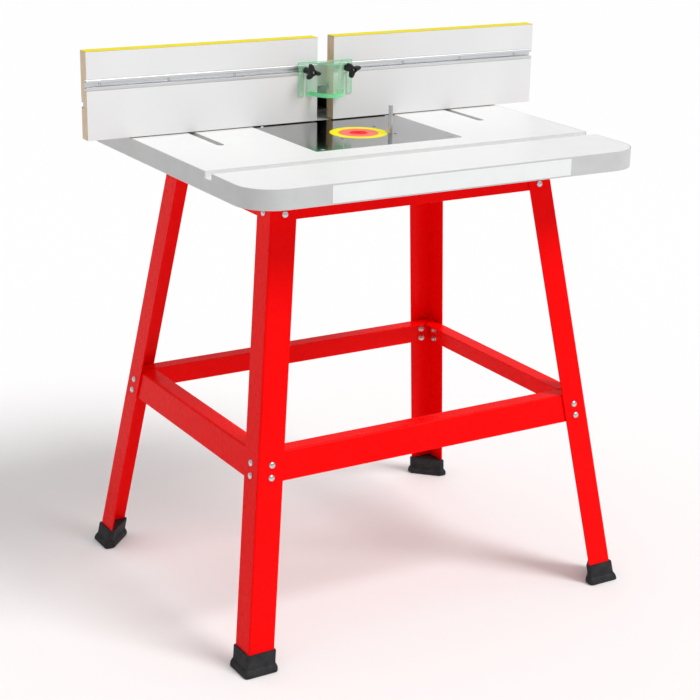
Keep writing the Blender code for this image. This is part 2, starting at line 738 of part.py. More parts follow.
def build_hood(carriage, materials):
    """Dust hood over the chip opening, with a round port at the back."""
    front = BRACKET_FRONT_Y + BRACKET_PLATE + FIT_GAP
    low = BRACKET_BOTTOM + BRACKET_BASE + FIT_GAP
    half = HOOD_HALF_WIDTH
    wall = HOOD_WALL
    hood = add_piece("dust_hood", box_mesh(
        "dust_hood", (-half, front, low), (half, HOOD_BACK_Y, HOOD_TOP)),
        materials["black_plastic"], parent=carriage)
    ears = add_cutter("hood_ears", box_mesh(
        "ears", (-half - HOOD_EAR, front, low), (half + HOOD_EAR, front + wall, HOOD_TOP)))
    port = add_cutter("hood_port", extrude_mesh(
        "port", circle(PORT_RADIUS, 32, (0, PORT_Z)), "Y", HOOD_BACK_Y - wall / 2, PORT_BACK_Y))
    cavity = add_cutter("hood_cavity", box_mesh(
        "cavity", (wall - half, front - OVERSHOOT, low - OVERSHOOT),
        (half - wall, HOOD_BACK_Y - wall, HOOD_TOP - wall)))
    bore = add_cutter("hood_bore", extrude_mesh(
        "bore", circle(PORT_RADIUS - wall, 32, (0, PORT_Z)), "Y",
        HOOD_BACK_Y - OVERSHOOT, PORT_BACK_Y + OVERSHOOT))
    shape_with(hood, ears, "UNION")
    shape_with(hood, port, "UNION")
    shape_with(hood, cavity)
    shape_with(hood, bore)


def build_clamps(carriage, materials):
    """Bolts and knobs that lock the fence to the top and the boards to the bracket."""
    base_top = BRACKET_BOTTOM + BRACKET_BASE
    head_low = TOP_HEIGHT - SLOT_LIP - CLAMP_HEAD_GAP - CLAMP_HEAD_THICKNESS
    clamp_bolt = bolt_mesh("clamp_bolt", CLAMP_HEAD, CLAMP_HEAD_THICKNESS, CLAMP_BOLT_RADIUS,
                           CLAMP_BOLT_TOP - head_low)
    clamp_knob = knob_mesh("clamp_knob", CLAMP_KNOB_TIP, CLAMP_KNOB_HEAD, CLAMP_KNOB_LENGTH,
                           CLAMP_BOLT_RADIUS + FIT_GAP)
    for side, sign in SIDES:
        place = (sign * SLOT_X, CLAMP_Y)
        add_piece("fence_clamp_bolt_" + side, clamp_bolt, materials["zinc_steel"], parent=carriage,
                  location=(*place, head_low))
        knob_on("fence_clamp_knob_" + side, clamp_knob, materials["knob_plastic"], carriage,
                (*place, base_top + FIT_GAP), (0, 0, sign * math.radians(CLAMP_KNOB_TURN)))

    back_y = FENCE_FRONT_Y + BOARD_THICKNESS
    head_front = back_y - BACK_TRACK_DEPTH + TRACK_WALL + BOARD_HEAD_GAP
    toward_back = (-math.pi / 2, 0, 0)
    board_bolt = bolt_mesh("board_bolt", BOLT_HEAD, BOLT_HEAD_THICKNESS, SMALL_BOLT_RADIUS,
                           BOARD_BOLT_LENGTH)
    board_knob = knob_mesh("board_knob", BOARD_KNOB_TIP, BOARD_KNOB_HEAD, BOARD_KNOB_LENGTH,
                           SMALL_BOLT_RADIUS + FIT_GAP)
    for name, x in board_bolt_places():
        add_piece("board_bolt_" + name, board_bolt, materials["zinc_steel"], parent=carriage,
                  location=(x, head_front, BACK_TRACK_Z), turn=toward_back)
        knob_on("board_knob_" + name, board_knob, materials["knob_plastic"], carriage,
                (x, BRACKET_FRONT_Y + BRACKET_PLATE + FIT_GAP, BACK_TRACK_Z), toward_back)


def guard_outline(half_width, visor_half, depth, back_y, front_y):
    """Plan of the guard: straight flanges with an elliptic visor between them."""
    points = [(half_width, back_y), (half_width, front_y)]
    for step in range(17):
        turn = math.pi * step / 16
        points.append((visor_half * math.cos(turn), front_y - depth * math.sin(turn)))
    points += [(-half_width, front_y), (-half_width, back_y)]
    return points


def build_guard(carriage, materials):
    """Clear guard in front of the gap, with its bolts in the front T-tracks and its knobs."""
    slider = add_axis("guard_slider", (GUARD_X, 0, 0), carriage)
    back_y = FENCE_FRONT_Y - FIT_GAP
    front_y = back_y - GUARD_FLANGE
    outline = guard_outline(GUARD_HALF_WIDTH, VISOR_HALF_WIDTH, VISOR_DEPTH, back_y, front_y)
    guard = add_piece("bit_guard", extrude_mesh("bit_guard", outline, "Z", GUARD_BOTTOM, GUARD_TOP),
                      materials["clear_green"], parent=slider)
    inner_half = VISOR_HALF_WIDTH - GUARD_WALL
    hollow = [(inner_half, back_y + OVERSHOOT), (inner_half, front_y)]
    hollow += [(inner_half * math.cos(math.pi * step / 16),
                front_y - (VISOR_DEPTH - GUARD_WALL) * math.sin(math.pi * step / 16))
               for step in range(1, 16)]
    hollow += [(-inner_half, front_y), (-inner_half, back_y + OVERSHOOT)]
    cutter = add_cutter("visor_cutter", extrude_mesh(
        "visor_hollow", hollow, "Z", GUARD_BOTTOM - OVERSHOOT, GUARD_TOP - GUARD_WALL))
    cutter.parent = slider
    shape_with(guard, cutter)

    radius = GUARD_SLOT_WIDTH / 2
    slot_top = FRONT_TRACK_Z + GUARD_SLOT_RISE
    bolt = bolt_mesh("guard_bolt", BOLT_HEAD, BOLT_HEAD_THICKNESS, SMALL_BOLT_RADIUS,
                     GUARD_BOLT_LENGTH)
    knob = knob_mesh("guard_knob", GUARD_KNOB_TIP, GUARD_KNOB_HEAD, GUARD_KNOB_LENGTH,
                     SMALL_BOLT_RADIUS + FIT_GAP)
    head_back = FENCE_FRONT_Y + FRONT_TRACK_DEPTH - TRACK_WALL - GUARD_HEAD_GAP
    toward_front = math.pi / 2
    for side, sign in SIDES:
        x = sign * GUARD_BOLT_X
        slot = [(x - radius, GUARD_BOTTOM - OVERSHOOT), (x + radius, GUARD_BOTTOM - OVERSHOOT)]
        slot += [(x + radius * math.cos(math.pi * step / 8), slot_top + radius * math.sin(math.pi * step / 8))
                 for step in range(9)]
        slot_cutter = add_cutter(side + "_guard_slot", extrude_mesh(
            "guard_slot", slot, "Y", front_y - OVERSHOOT, back_y + OVERSHOOT))
        slot_cutter.parent = slider
        shape_with(guard, slot_cutter)
        add_piece("guard_bolt_" + side, bolt, materials["zinc_steel"], parent=slider,
                  location=(x, head_back, FRONT_TRACK_Z), turn=(toward_front, 0, 0))
        turn = Matrix.Rotation(toward_front, 3, "X") @ Matrix.Rotation(math.radians(sign * GUARD_KNOB_TURN), 3, "Z")
        knob_on("guard_knob_" + side, knob, materials["knob_plastic"], slider,
                (x, front_y - FIT_GAP, FRONT_TRACK_Z), turn.to_euler())


def build_fence(materials):
    """Everything that slides with the fence."""
    carriage = add_axis("fence_carriage")
    build_bracket(carriage, materials)
    build_hood(carriage, materials)
    for side, sign in SIDES:
        build_fence_board(side, sign, add_axis(side + "_board_slider", parent=carriage), materials)
    build_clamps(carriage, materials)
    build_guard(carriage, materials)


def build_table():
    """Build the whole router table."""
    clear_scene()
    materials = {name: make_material(name) for name in MATERIALS}
    build_top(materials)
    build_plate(materials)
    build_inserts(materials)
    build_pin(materials)
    build_legs_and_feet(materials)
    build_rails(materials)
    build_fence(materials)


build_table()
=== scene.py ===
"""Looks of a free-standing router table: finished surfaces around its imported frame, studio and camera."""
import math

import bmesh
import bpy
from mathutils import Matrix, Vector


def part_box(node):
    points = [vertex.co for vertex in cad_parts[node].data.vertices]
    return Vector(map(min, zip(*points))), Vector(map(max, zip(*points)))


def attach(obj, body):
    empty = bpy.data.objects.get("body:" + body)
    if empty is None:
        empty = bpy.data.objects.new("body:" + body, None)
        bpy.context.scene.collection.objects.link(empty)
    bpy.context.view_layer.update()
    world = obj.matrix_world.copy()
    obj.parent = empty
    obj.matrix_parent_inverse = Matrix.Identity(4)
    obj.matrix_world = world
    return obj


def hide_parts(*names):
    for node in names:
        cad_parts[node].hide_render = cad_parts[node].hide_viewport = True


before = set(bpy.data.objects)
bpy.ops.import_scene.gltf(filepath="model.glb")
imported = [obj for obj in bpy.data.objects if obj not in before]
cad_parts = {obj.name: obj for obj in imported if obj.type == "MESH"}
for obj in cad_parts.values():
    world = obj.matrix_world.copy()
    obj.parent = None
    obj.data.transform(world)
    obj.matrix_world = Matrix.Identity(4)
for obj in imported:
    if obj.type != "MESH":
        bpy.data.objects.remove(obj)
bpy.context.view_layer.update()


# ------------------------------------------------------------------------- camera, floor and light
# The table stands on a pale studio floor. A broad soft light comes from the front, above and to
# the right. The white room lights it most from overhead, so the left sides stay in half shade.

CAMERA_PLACE = Vector((-1.64177, -2.73528, 1.50042))
CAMERA_AZIMUTH = math.radians(-32.708)
CAMERA_DOWN = math.radians(18.338)
CAMERA_ROLL = math.radians(1.597)
CAMERA_LENS = 89.541
CAMERA_SHIFT = -0.0786
WALL_LIGHT = 0.34
CEILING_LIGHT = 0.80
KEY_LIGHT = 1.80
KEY_TILT = math.radians(41)
KEY_TURN = math.radians(32)
KEY_SOFTNESS = math.radians(24)
FLOOR_REACH = 40
FLOOR_LEVEL = -0.0004
FLOOR_TONE = (0.93, 0.93, 0.93, 1)


def add_camera():
    """Camera at the table's front left, looking a little down."""
    ahead = Vector((-math.sin(CAMERA_AZIMUTH) * math.cos(CAMERA_DOWN),
                    math.cos(CAMERA_AZIMUTH) * math.cos(CAMERA_DOWN), -math.sin(CAMERA_DOWN)))
    level = Vector((math.cos(CAMERA_AZIMUTH), math.sin(CAMERA_AZIMUTH), 0))
    above = level.cross(ahead)
    right = math.cos(CAMERA_ROLL) * level + math.sin(CAMERA_ROLL) * above
    up = math.cos(CAMERA_ROLL) * above - math.sin(CAMERA_ROLL) * level
    lens = bpy.data.cameras.new("camera")
    lens.lens = CAMERA_LENS
    lens.sensor_width = 36
    lens.shift_x = CAMERA_SHIFT
    lens.clip_end = 200
    camera = bpy.data.objects.new("camera", lens)
    bpy.context.scene.collection.objects.link(camera)
    camera.matrix_world = Matrix.Translation(CAMERA_PLACE) @ Matrix((right, up, -ahead)).transposed().to_4x4()
    bpy.context.scene.camera = camera


def add_sky():
    """Room that lights the table most from its ceiling. To the camera it is plain white."""
    world = bpy.data.worlds.new("white_room")
    world.use_nodes = True
    nodes = world.node_tree.nodes
    links = world.node_tree.links
    place = nodes.new("ShaderNodeTexCoord")
    split = nodes.new("ShaderNodeSeparateXYZ")
    climb = nodes.new("ShaderNodeMapRange")
    climb.inputs["To Min"].default_value = WALL_LIGHT
    climb.inputs["To Max"].default_value = CEILING_LIGHT
    links.new(place.outputs["Generated"], split.inputs["Vector"])
    links.new(split.outputs["Z"], climb.inputs["Value"])
    path = nodes.new("ShaderNodeLightPath")
    brighter = nodes.new("ShaderNodeMath")
    brighter.operation = "MAXIMUM"
    links.new(climb.outputs["Result"], brighter.inputs[0])
    links.new(path.outputs["Is Camera Ray"], brighter.inputs[1])
    links.new(brighter.outputs["Value"], nodes["Background"].inputs["Strength"])
    nodes["Background"].inputs["Color"].default_value = (1, 1, 1, 1)
    bpy.context.scene.world = world


def add_key_light():
    """Broad soft light from the front, to the right and above."""
    light = bpy.data.lights.new("key_light", "SUN")
    light.energy = KEY_LIGHT
    light.angle = KEY_SOFTNESS
    lamp = bpy.data.objects.new("key_light", light)
    bpy.context.scene.collection.objects.link(lamp)
    lamp.rotation_euler = (KEY_TILT, 0, KEY_TURN)


def add_studio():
    """Pale floor, white room and soft key light."""
    mesh = bpy.data.meshes.new("studio_floor")
    reach, low = FLOOR_REACH, FLOOR_LEVEL
    mesh.from_pydata([(-reach, -reach, low), (reach, -reach, low), (reach, reach, low), (-reach, reach, low)],
                     [], [(0, 1, 2, 3)])
    floor = bpy.data.objects.new("studio_floor", mesh)
    bpy.context.scene.collection.objects.link(floor)
    paint = bpy.data.materials.new("pale_floor")
    paint.use_nodes = True
    shader = paint.node_tree.nodes["Principled BSDF"]
    shader.inputs["Base Color"].default_value = FLOOR_TONE
    shader.inputs["Roughness"].default_value = 0.9
    shader.inputs["Specular IOR Level"].default_value = 0.1
    mesh.materials.append(paint)
    add_sky()
    add_key_light()
    bpy.context.scene.view_settings.view_transform = "Standard"


add_camera()
add_studio()


# ------------------------------------------------------------------------------------- worktop
# A 35 mm board faced on both sides with white melamine. The mitre groove, the two T-shaped fence
# slots and the plate's recess are routed into it, so their walls show the sealed pale core.

PATTERN_RANGE = (0.3, 0.7)


def grain(scale, detail=3.0):
    """Noise. scale is one number or one for each axis, per metre."""
    return "ShaderNodeTexNoise", "Fac", scale, detail


def cells(scale):
    """Distance to the nearest cell's middle. scale is per metre."""
    return "ShaderNodeTexVoronoi", "Distance", scale, 0.0


def lay(material, pattern):
    """Lay a pattern over the piece's own coordinates and give its value."""
    kind, output, scale, detail = pattern
    nodes = material.node_tree.nodes
    links = material.node_tree.links
    place = nodes.new("ShaderNodeTexCoord")
    mapping = nodes.new("ShaderNodeMapping")
    mapping.inputs["Scale"].default_value = scale if isinstance(scale, tuple) else (scale, scale, scale)
    texture = nodes.new(kind)
    texture.inputs["Scale"].default_value = 1.0
    texture.inputs["Detail"].default_value = detail
    links.new(place.outputs["Object"], mapping.inputs["Vector"])
    links.new(mapping.outputs["Vector"], texture.inputs["Vector"])
    return texture.outputs[output]


def vary_colour(material, pattern, dark, light):
    """Let a pattern mix two colours."""
    nodes = material.node_tree.nodes
    links = material.node_tree.links
    base = nodes["Principled BSDF"].inputs["Base Color"]
    base.default_value = (*Vector(dark).lerp(Vector(light), 0.5), 1)
    ramp = nodes.new("ShaderNodeValToRGB")
    for element, position, colour in zip(ramp.color_ramp.elements, PATTERN_RANGE, (dark, light)):
        element.position = position
        element.color = (*colour, 1)
    links.new(lay(material, pattern), ramp.inputs["Fac"])
    links.new(ramp.outputs["Color"], base)


def vary_roughness(material, pattern, low, high):
    """Let a pattern drive the roughness."""
    links = material.node_tree.links
    roughness = material.node_tree.nodes["Principled BSDF"].inputs["Roughness"]
    roughness.default_value = (low + high) / 2
    stretch = material.node_tree.nodes.new("ShaderNodeMapRange")
    for label, value in zip(("From Min", "From Max", "To Min", "To Max"), (*PATTERN_RANGE, low, high)):
        stretch.inputs[label].default_value = value
    links.new(lay(material, pattern), stretch.inputs["Value"])
    links.new(stretch.outputs["Result"], roughness)


def add_relief(material, pattern, strength, depth):
    """Let a pattern raise the surface. depth is in metres."""
    nodes = material.node_tree.nodes
    links = material.node_tree.links
    bump = nodes.new("ShaderNodeBump")
    bump.inputs["Strength"].default_value = strength
    bump.inputs["Distance"].default_value = depth
    links.new(lay(material, pattern), bump.inputs["Height"])
    links.new(bump.outputs["Normal"], nodes["Principled BSDF"].inputs["Normal"])


def new_material(name, tones, roughness, relief, metallic=0.0, specular=0.5, alpha=1.0):
    """A Principled material.

    tones is a flat colour, or a pattern with its dark and light colours. roughness is a flat value,
    or a pattern with its low and high values. relief is a pattern with its strength and depth.
    """
    material = bpy.data.materials.new(name)
    material.use_nodes = True
    inputs = material.node_tree.nodes["Principled BSDF"].inputs
    inputs["Metallic"].default_value = metallic
    inputs["Specular IOR Level"].default_value = specular
    inputs["Alpha"].default_value = alpha
    if isinstance(tones[0], float):
        inputs["Base Color"].default_value = (*tones, 1)
    else:
        vary_colour(material, *tones)
    if isinstance(roughness, float):
        inputs["Roughness"].default_value = roughness
    else:
        vary_roughness(material, *roughness)
    add_relief(material, *relief)
    return material


WELD = 0.00002
FLAT_ANGLE = math.radians(0.3)
SHARP_ANGLE = math.radians(35)
ON_FACE = 0.0002


def copy_of(node):
    """A CAD node's shape with its loose triangles welded back into whole flat faces."""
    build = bmesh.new()
    build.from_mesh(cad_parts[node].data)
    bmesh.ops.remove_doubles(build, verts=build.verts, dist=WELD)
    bmesh.ops.dissolve_limit(build, angle_limit=FLAT_ANGLE, use_dissolve_boundaries=False,
                             verts=build.verts, edges=build.edges)
    return build


def settle(piece):
    """Turn a piece's modifiers into plain mesh."""
    graph = bpy.context.evaluated_depsgraph_get()
    mesh = bpy.data.meshes.new_from_object(piece.evaluated_get(graph))
    piece.modifiers.clear()
    piece.data = mesh


def new_object(name, build):
    """Put a shape into the scene as an object."""
    mesh = bpy.data.meshes.new(name)
    build.to_mesh(mesh)
    build.free()
    piece = bpy.data.objects.new(name, mesh)
    bpy.context.scene.collection.objects.link(piece)
    return piece


def make_piece(name, build, body, materials, nodes=(), edge=0.0, segments=2, choose=None):
    """Finish a shape: round its sharp edges, give it its materials and let it ride on its body.

    choose gives the number of a face's material, where there is more than one material.
    """
    if choose is not None:
        for face in build.faces:
            face.material_index = choose(face)
    piece = new_object(name, build)
    for material in materials:
        piece.data.materials.append(material)
    piece.data.shade_smooth()
    piece.data.set_sharp_from_angle(angle=SHARP_ANGLE)
    if edge:
        bevel = piece.modifiers.new("edges", "BEVEL")
        bevel.width = edge
        bevel.segments = segments
        bevel.limit_method = "ANGLE"
        bevel.angle_limit = SHARP_ANGLE
        bevel.material = -1
        normals = piece.modifiers.new("normals", "WEIGHTED_NORMAL")
        normals.keep_sharp = True
        settle(piece)
    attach(piece, body)
    if nodes:
        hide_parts(*nodes)


melamine = new_material("white_melamine", (grain(5.0, 2.0), (0.88, 0.88, 0.88), (0.90, 0.90, 0.895)),
                        (grain(40.0), 0.30, 0.40), (grain(900.0, 2.0), 0.10, 0.0002))
sealed_core = new_material(
    "sealed_core", (grain((60.0, 60.0, 900.0), 4.0), (0.74, 0.74, 0.735), (0.80, 0.80, 0.795)),
    0.6, (grain(700.0, 4.0), 0.25, 0.0003), specular=0.2)

top_low, top_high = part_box("tabletop")


def worktop_face(face):
    """Laminate on the two big faces, routed core everywhere else."""
    height = face.calc_center_median().z
    return 0 if abs(height - top_high.z) < ON_FACE or abs(height - top_low.z) < ON_FACE else 1


make_piece("worktop", copy_of("tabletop"), "table", [melamine, sealed_core],
           ["tabletop"], edge=0.0004, choose=worktop_face)


# --------------------------------------------------------------------- edging and front strip
# Grey plastic edging, 1.7 mm thick, is glued round the worktop and rounded over at both corners.
# A plain blank strip is stuck to the front edge.

edging = new_material("grey_edging", (grain(30.0), (0.53, 0.535, 0.535), (0.56, 0.565, 0.565)),
                      (grain(300.0), 0.36, 0.48), (cells(1100.0), 0.18, 0.0002))
make_piece("worktop_edging", copy_of("edge_band"), "table", [edging], ["edge_band"],
           edge=0.0006, segments=3)

strip_film = new_material("blank_strip_film", (grain(25.0), (0.79, 0.80, 0.80), (0.82, 0.83, 0.83)),
                          0.22, (grain(120.0, 1.0), 0.05, 0.0002))
make_piece("blank_front_strip", copy_of("front_strip"), "table", [strip_film],
           ["front_strip"], edge=0.00015)


# ------------------------------------------------------------------------------- router plate
# A 7 mm plate of dark anodised aluminium, lapped to a near mirror, let in flush with the worktop.
# The router hangs under it. Four countersunk screws with a cross recess hold it down.

plate_metal = new_material(
    "polished_dark_plate", (grain(6.0), (0.35, 0.35, 0.35), (0.395, 0.395, 0.395)),
    (grain((30.0, 900.0, 30.0), 4.0), 0.08, 0.13), (grain((25.0, 1200.0, 25.0)), 0.01, 0.0001), metallic=1.0)
make_piece("mirror_plate", copy_of("router_plate"), "table", [plate_metal], ["router_plate"],
           edge=0.0003)


def circle(radius, segments):
    """Points of a circle round the axis."""
    steps = [2 * math.pi * index / segments for index in range(segments)]
    return [(radius * math.cos(step), radius * math.sin(step)) for step in steps]


def stack(rings, closed=False, place=None):
    """Skin rings of equal count, each (points, height). closed joins the last ring to the first.

    place is the matrix that carries the shape from its own axis to where it belongs.
    """
    build = bmesh.new()
    loops = [[build.verts.new((x, y, height)) for x, y in points] for points, height in rings]
    pairs = list(zip(loops, loops[1:]))
    if closed:
        pairs.append((loops[-1], loops[0]))
    else:
        build.faces.new(loops[0])
        build.faces.new(loops[-1])
    count = len(loops[0])
    for low, high in pairs:
        for index in range(count):
            after = (index + 1) % count
            build.faces.new((low[index], low[after], high[after], high[index]))
    bmesh.ops.recalc_face_normals(build, faces=build.faces)
    if place is not None:
        bmesh.ops.transform(build, matrix=place, verts=build.verts)
    return build


def turned(profile, segments=48, closed=False, place=None):
    """Turn a profile of (radius, height) about its axis."""
    return stack([(circle(radius, segments), height) for radius, height in profile], closed, place)


def join(builds):
    """Put several shapes into one."""
    whole = bmesh.new()
    for build in builds:
        mesh = bpy.data.meshes.new("part")
        build.to_mesh(mesh)
        build.free()
        whole.from_mesh(mesh)
        bpy.data.meshes.remove(mesh)
    return whole


def middle_of(node):
    """Middle of a CAD node's box."""
    low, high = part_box(node)
    return (low + high) / 2


zinc = new_material("zinc_plated_steel", (grain(350.0), (0.54, 0.55, 0.58), (0.72, 0.72, 0.72)),
                    (grain(700.0), 0.20, 0.38), (grain(1500.0, 2.0), 0.06, 0.0001), metallic=1.0)

CORNERS = (("front_left", -1, -1), ("front_right", 1, -1), ("back_left", -1, 1), ("back_right", 1, 1))
SCREW_HEAD = 0.0046
SCREW_SHANK = 0.0025


def cross_head_screw(head_radius, shank_radius, length, place):
    """Countersunk screw with its top face at height zero and a cross recess in it."""
    slope = head_radius - shank_radius
    cut = 0.32 * head_radius
    arm = 0.62 * head_radius
    deep = 0.55 * slope
    arms = [(arm, cut), (cut, cut), (cut, arm), (-cut, arm), (-cut, cut), (-arm, cut),
            (-arm, -cut), (-cut, -cut), (-cut, -arm), (cut, -arm), (cut, -cut), (arm, -cut)]
    scaled = [(x * 0.55, y * 0.55) for x, y in arms]
    around = [math.atan2(y, x) for x, y in arms]
    ring = [(math.cos(turn), math.sin(turn)) for turn in around]

    def grown(radius):
        return [(x * radius, y * radius) for x, y in ring]

    rings = [(grown(shank_radius), -length), (grown(shank_radius), -slope), (grown(head_radius), -0.0002),
             (grown(head_radius - 0.0001), 0.0), (arms, 0.0), (scaled, -deep)]
    return stack(rings, place=place)


screw_shapes = []
for corner, side_x, side_y in CORNERS:
    low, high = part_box("plate_screw_" + corner)
    place = Matrix.Translation(((low.x + high.x) / 2, (low.y + high.y) / 2, high.z))
    turn = Matrix.Rotation(math.radians(25 + 37 * side_x + 11 * side_y), 4, "Z")
    screw_shapes.append(cross_head_screw(SCREW_HEAD, SCREW_SHANK, high.z - low.z, place @ turn))
make_piece("plate_screws", join(screw_shapes), "table", [zinc],
           ["plate_screw_" + corner for corner, _, _ in CORNERS])


# ------------------------------------------------------------------------- insert rings and pin
# Two moulded rings and a disc nest in the plate's opening, each in its own colour, so that the hole
# can be matched to the bit. The steel starter pin screws into the plate beside them.

def moulded(name, colour, roughness=0.42):
    """Moulded plastic, faintly mottled and with a fine texture."""
    dark = tuple(value * 0.95 for value in colour)
    light = tuple(min(1.0, value * 1.04) for value in colour)
    return new_material(name, (grain(60.0), dark, light), (grain(500.0), roughness - 0.05, roughness + 0.07),
                        (grain(1400.0, 2.0), 0.08, 0.0001), specular=0.05)


INSERTS = (("outer_insert_ring", "yellow_plastic", (0.98, 0.87, 0.002)),
           ("middle_insert_ring", "pink_plastic", (0.98, 0.20, 0.17)),
           ("inner_insert_disc", "red_plastic", (0.92, 0.010, 0.010)))
INSERT_STEP = 0.004
INSERT_GAP = 0.0003
INSERT_EDGE = 0.0004


def insert_profile(radius, bottom, top, inside):
    """Section of one insert: a rim on a spigot, and a stepped seat for the next insert inside it."""
    flange = (bottom + top) / 2
    spigot = radius - INSERT_STEP - INSERT_GAP
    profile = [(spigot - INSERT_EDGE, bottom), (spigot, bottom + INSERT_EDGE), (spigot, flange),
               (radius, flange), (radius, top - INSERT_EDGE), (radius - INSERT_EDGE, top)]
    if inside:
        ledge = flange - INSERT_GAP
        hole = inside - INSERT_STEP
        profile += [(inside + INSERT_EDGE, top), (inside, top - INSERT_EDGE), (inside, ledge),
                    (hole, ledge), (hole, bottom)]
    else:
        rim = radius - 0.0028
        profile += [(rim, top), (rim - 0.0005, top - 0.0006), (0.0045, top - 0.0006),
                    (0.0040, top - 0.0011), (0.0012, top - 0.0011)]
    return profile


bit_axis = middle_of("inner_insert_disc")
insert_radii = [(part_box(name)[1].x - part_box(name)[0].x) / 2 for name, _, _ in INSERTS]
for level, (node, slot, colour) in enumerate(INSERTS):
    low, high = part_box(node)
    next_radius = insert_radii[level + 1] + INSERT_GAP if level + 1 < len(INSERTS) else None
    shape = turned(insert_profile(insert_radii[level], low.z, high.z, next_radius), 96,
                   closed=next_radius is not None, place=Matrix.Translation((bit_axis.x, bit_axis.y, 0)))
    make_piece("moulded_" + node, shape, "table", [moulded("moulded_" + slot, colour)], [node])

pin_steel = new_material(
    "turned_pin_steel", (grain((40.0, 40.0, 900.0)), (0.62, 0.62, 0.64), (0.76, 0.76, 0.77)),
    (grain((60.0, 60.0, 1500.0)), 0.24, 0.38), (grain((20.0, 20.0, 2500.0), 2.0), 0.05, 0.0001), metallic=1.0)

PIN_PITCH = 0.0012
PIN_THREAD_BELOW_PLATE = 0.0015
pin_low, pin_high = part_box("starter_pin")
pin_radius = (pin_high.x - pin_low.x) / 2
thread_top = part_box("router_plate")[1].z - PIN_THREAD_BELOW_PLATE
pin_profile = [(pin_radius - 0.0010, pin_low.z)]
height = pin_low.z + 0.0008
while height < thread_top:
    pin_profile += [(pin_radius - 0.0001, height), (pin_radius - 0.0006, height + PIN_PITCH / 2)]
    height += PIN_PITCH
pin_profile += [(pin_radius, thread_top + 0.0006), (pin_radius, pin_high.z - 0.0009),
                (pin_radius - 0.0003, pin_high.z - 0.0003), (pin_radius - 0.0010, pin_high.z),
                (pin_radius * 0.36, pin_high.z), (pin_radius * 0.30, pin_high.z - 0.0004)]
pin_place = Matrix.Translation(((pin_low.x + pin_high.x) / 2, (pin_low.y + pin_high.y) / 2, 0))
make_piece("turned_starter_pin", turned(pin_profile, 40, place=pin_place), "starter_pin",
           [pin_steel], ["starter_pin"])


# ------------------------------------------------------------------------------ legs and rails
# The stand is folded from 3 mm steel sheet and powder coated bright red. Each leg is an angle that
# splays both ways, and the rails are angles too, bolted behind the legs' faces.

red_coat = new_material("red_powder_coat", (grain(9.0, 2.0), (0.90, 0.0010, 0.0015), (0.94, 0.0016, 0.0020)),
                        (grain(45.0), 0.23, 0.33), (grain(420.0, 2.0), 0.06, 0.0003), specular=0.05)

FOLD_RADIUS = 0.0032
CUT_EDGE = 0.0005


def fold_edges(build, is_fold):
    """Round the long folded corner of an angle, and leave its cut edges to the bevel."""
    folds = [edge for edge in build.edges if is_fold(edge) and len(edge.link_faces) == 2]
    bmesh.ops.bevel(build, geom=folds, offset=FOLD_RADIUS, offset_type="OFFSET", segments=5, profile=0.5,
                    affect="EDGES", clamp_overlap=True)
    return build


def leg_line(corner):
    """Outer corner of a leg at its lower and its upper end."""
    vertices = [vertex.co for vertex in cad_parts["leg_" + corner].data.vertices]
    ends = []
    for level in (min(v.z for v in vertices), max(v.z for v in vertices)):
        ring = [v for v in vertices if abs(v.z - level) < 0.0001]
        ends.append(max(ring, key=lambda v: abs(v.x) + abs(v.y)).copy())
    return ends


def leg_corner(corner, height):
    """Outer corner of a leg at a height."""
    low, high = leg_line(corner)
    return low.lerp(high, (height - low.z) / (high.z - low.z))


for corner, _, _ in CORNERS:
    low, high = leg_line(corner)
    along = (high - low).normalized()

    def on_corner(edge, start=low, along=along):
        """An edge that runs along the leg's outer corner."""
        return all((vertex.co - start).cross(along).length < ON_FACE for vertex in edge.verts)

    make_piece("folded_leg_" + corner, fold_edges(copy_of("leg_" + corner), on_corner), "table",
               [red_coat], ["leg_" + corner], edge=CUT_EDGE)

RAIL_SIDES = (("front", 0, -1), ("back", 0, 1), ("left", 1, -1), ("right", 1, 1))
for row in ("upper_rail_", "stretcher_"):
    for side, along_axis, sign in RAIL_SIDES:
        across = 1 - along_axis
        shape = copy_of(row + side)
        top_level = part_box(row + side)[1].z
        outside = max((vertex.co[across] * sign for vertex in shape.verts
                       if abs(vertex.co.z - top_level) < 0.0001))

        def on_fold(edge, across=across, sign=sign, outside=outside, level=top_level):
            """An edge that runs along the rail's outer top corner."""
            return all(abs(vertex.co.z - level) < ON_FACE
                       and abs(vertex.co[across] * sign - outside) < ON_FACE for vertex in edge.verts)

        make_piece("folded_" + row + side, fold_edges(shape, on_fold), "table", [red_coat],
                   [row + side], edge=CUT_EDGE)


# --------------------------------------------------------------------------- stand bolts and nuts
# Two zinc-plated dome-headed bolts go through each leg face into every rail and stretcher, with
# a hexagon nut and washer behind. They are instanced on the places of the holes.

CROWN_STEPS = 4
SOCKET_TAPER = 0.85
FASTENER_SHARP_ANGLE = math.radians(40)


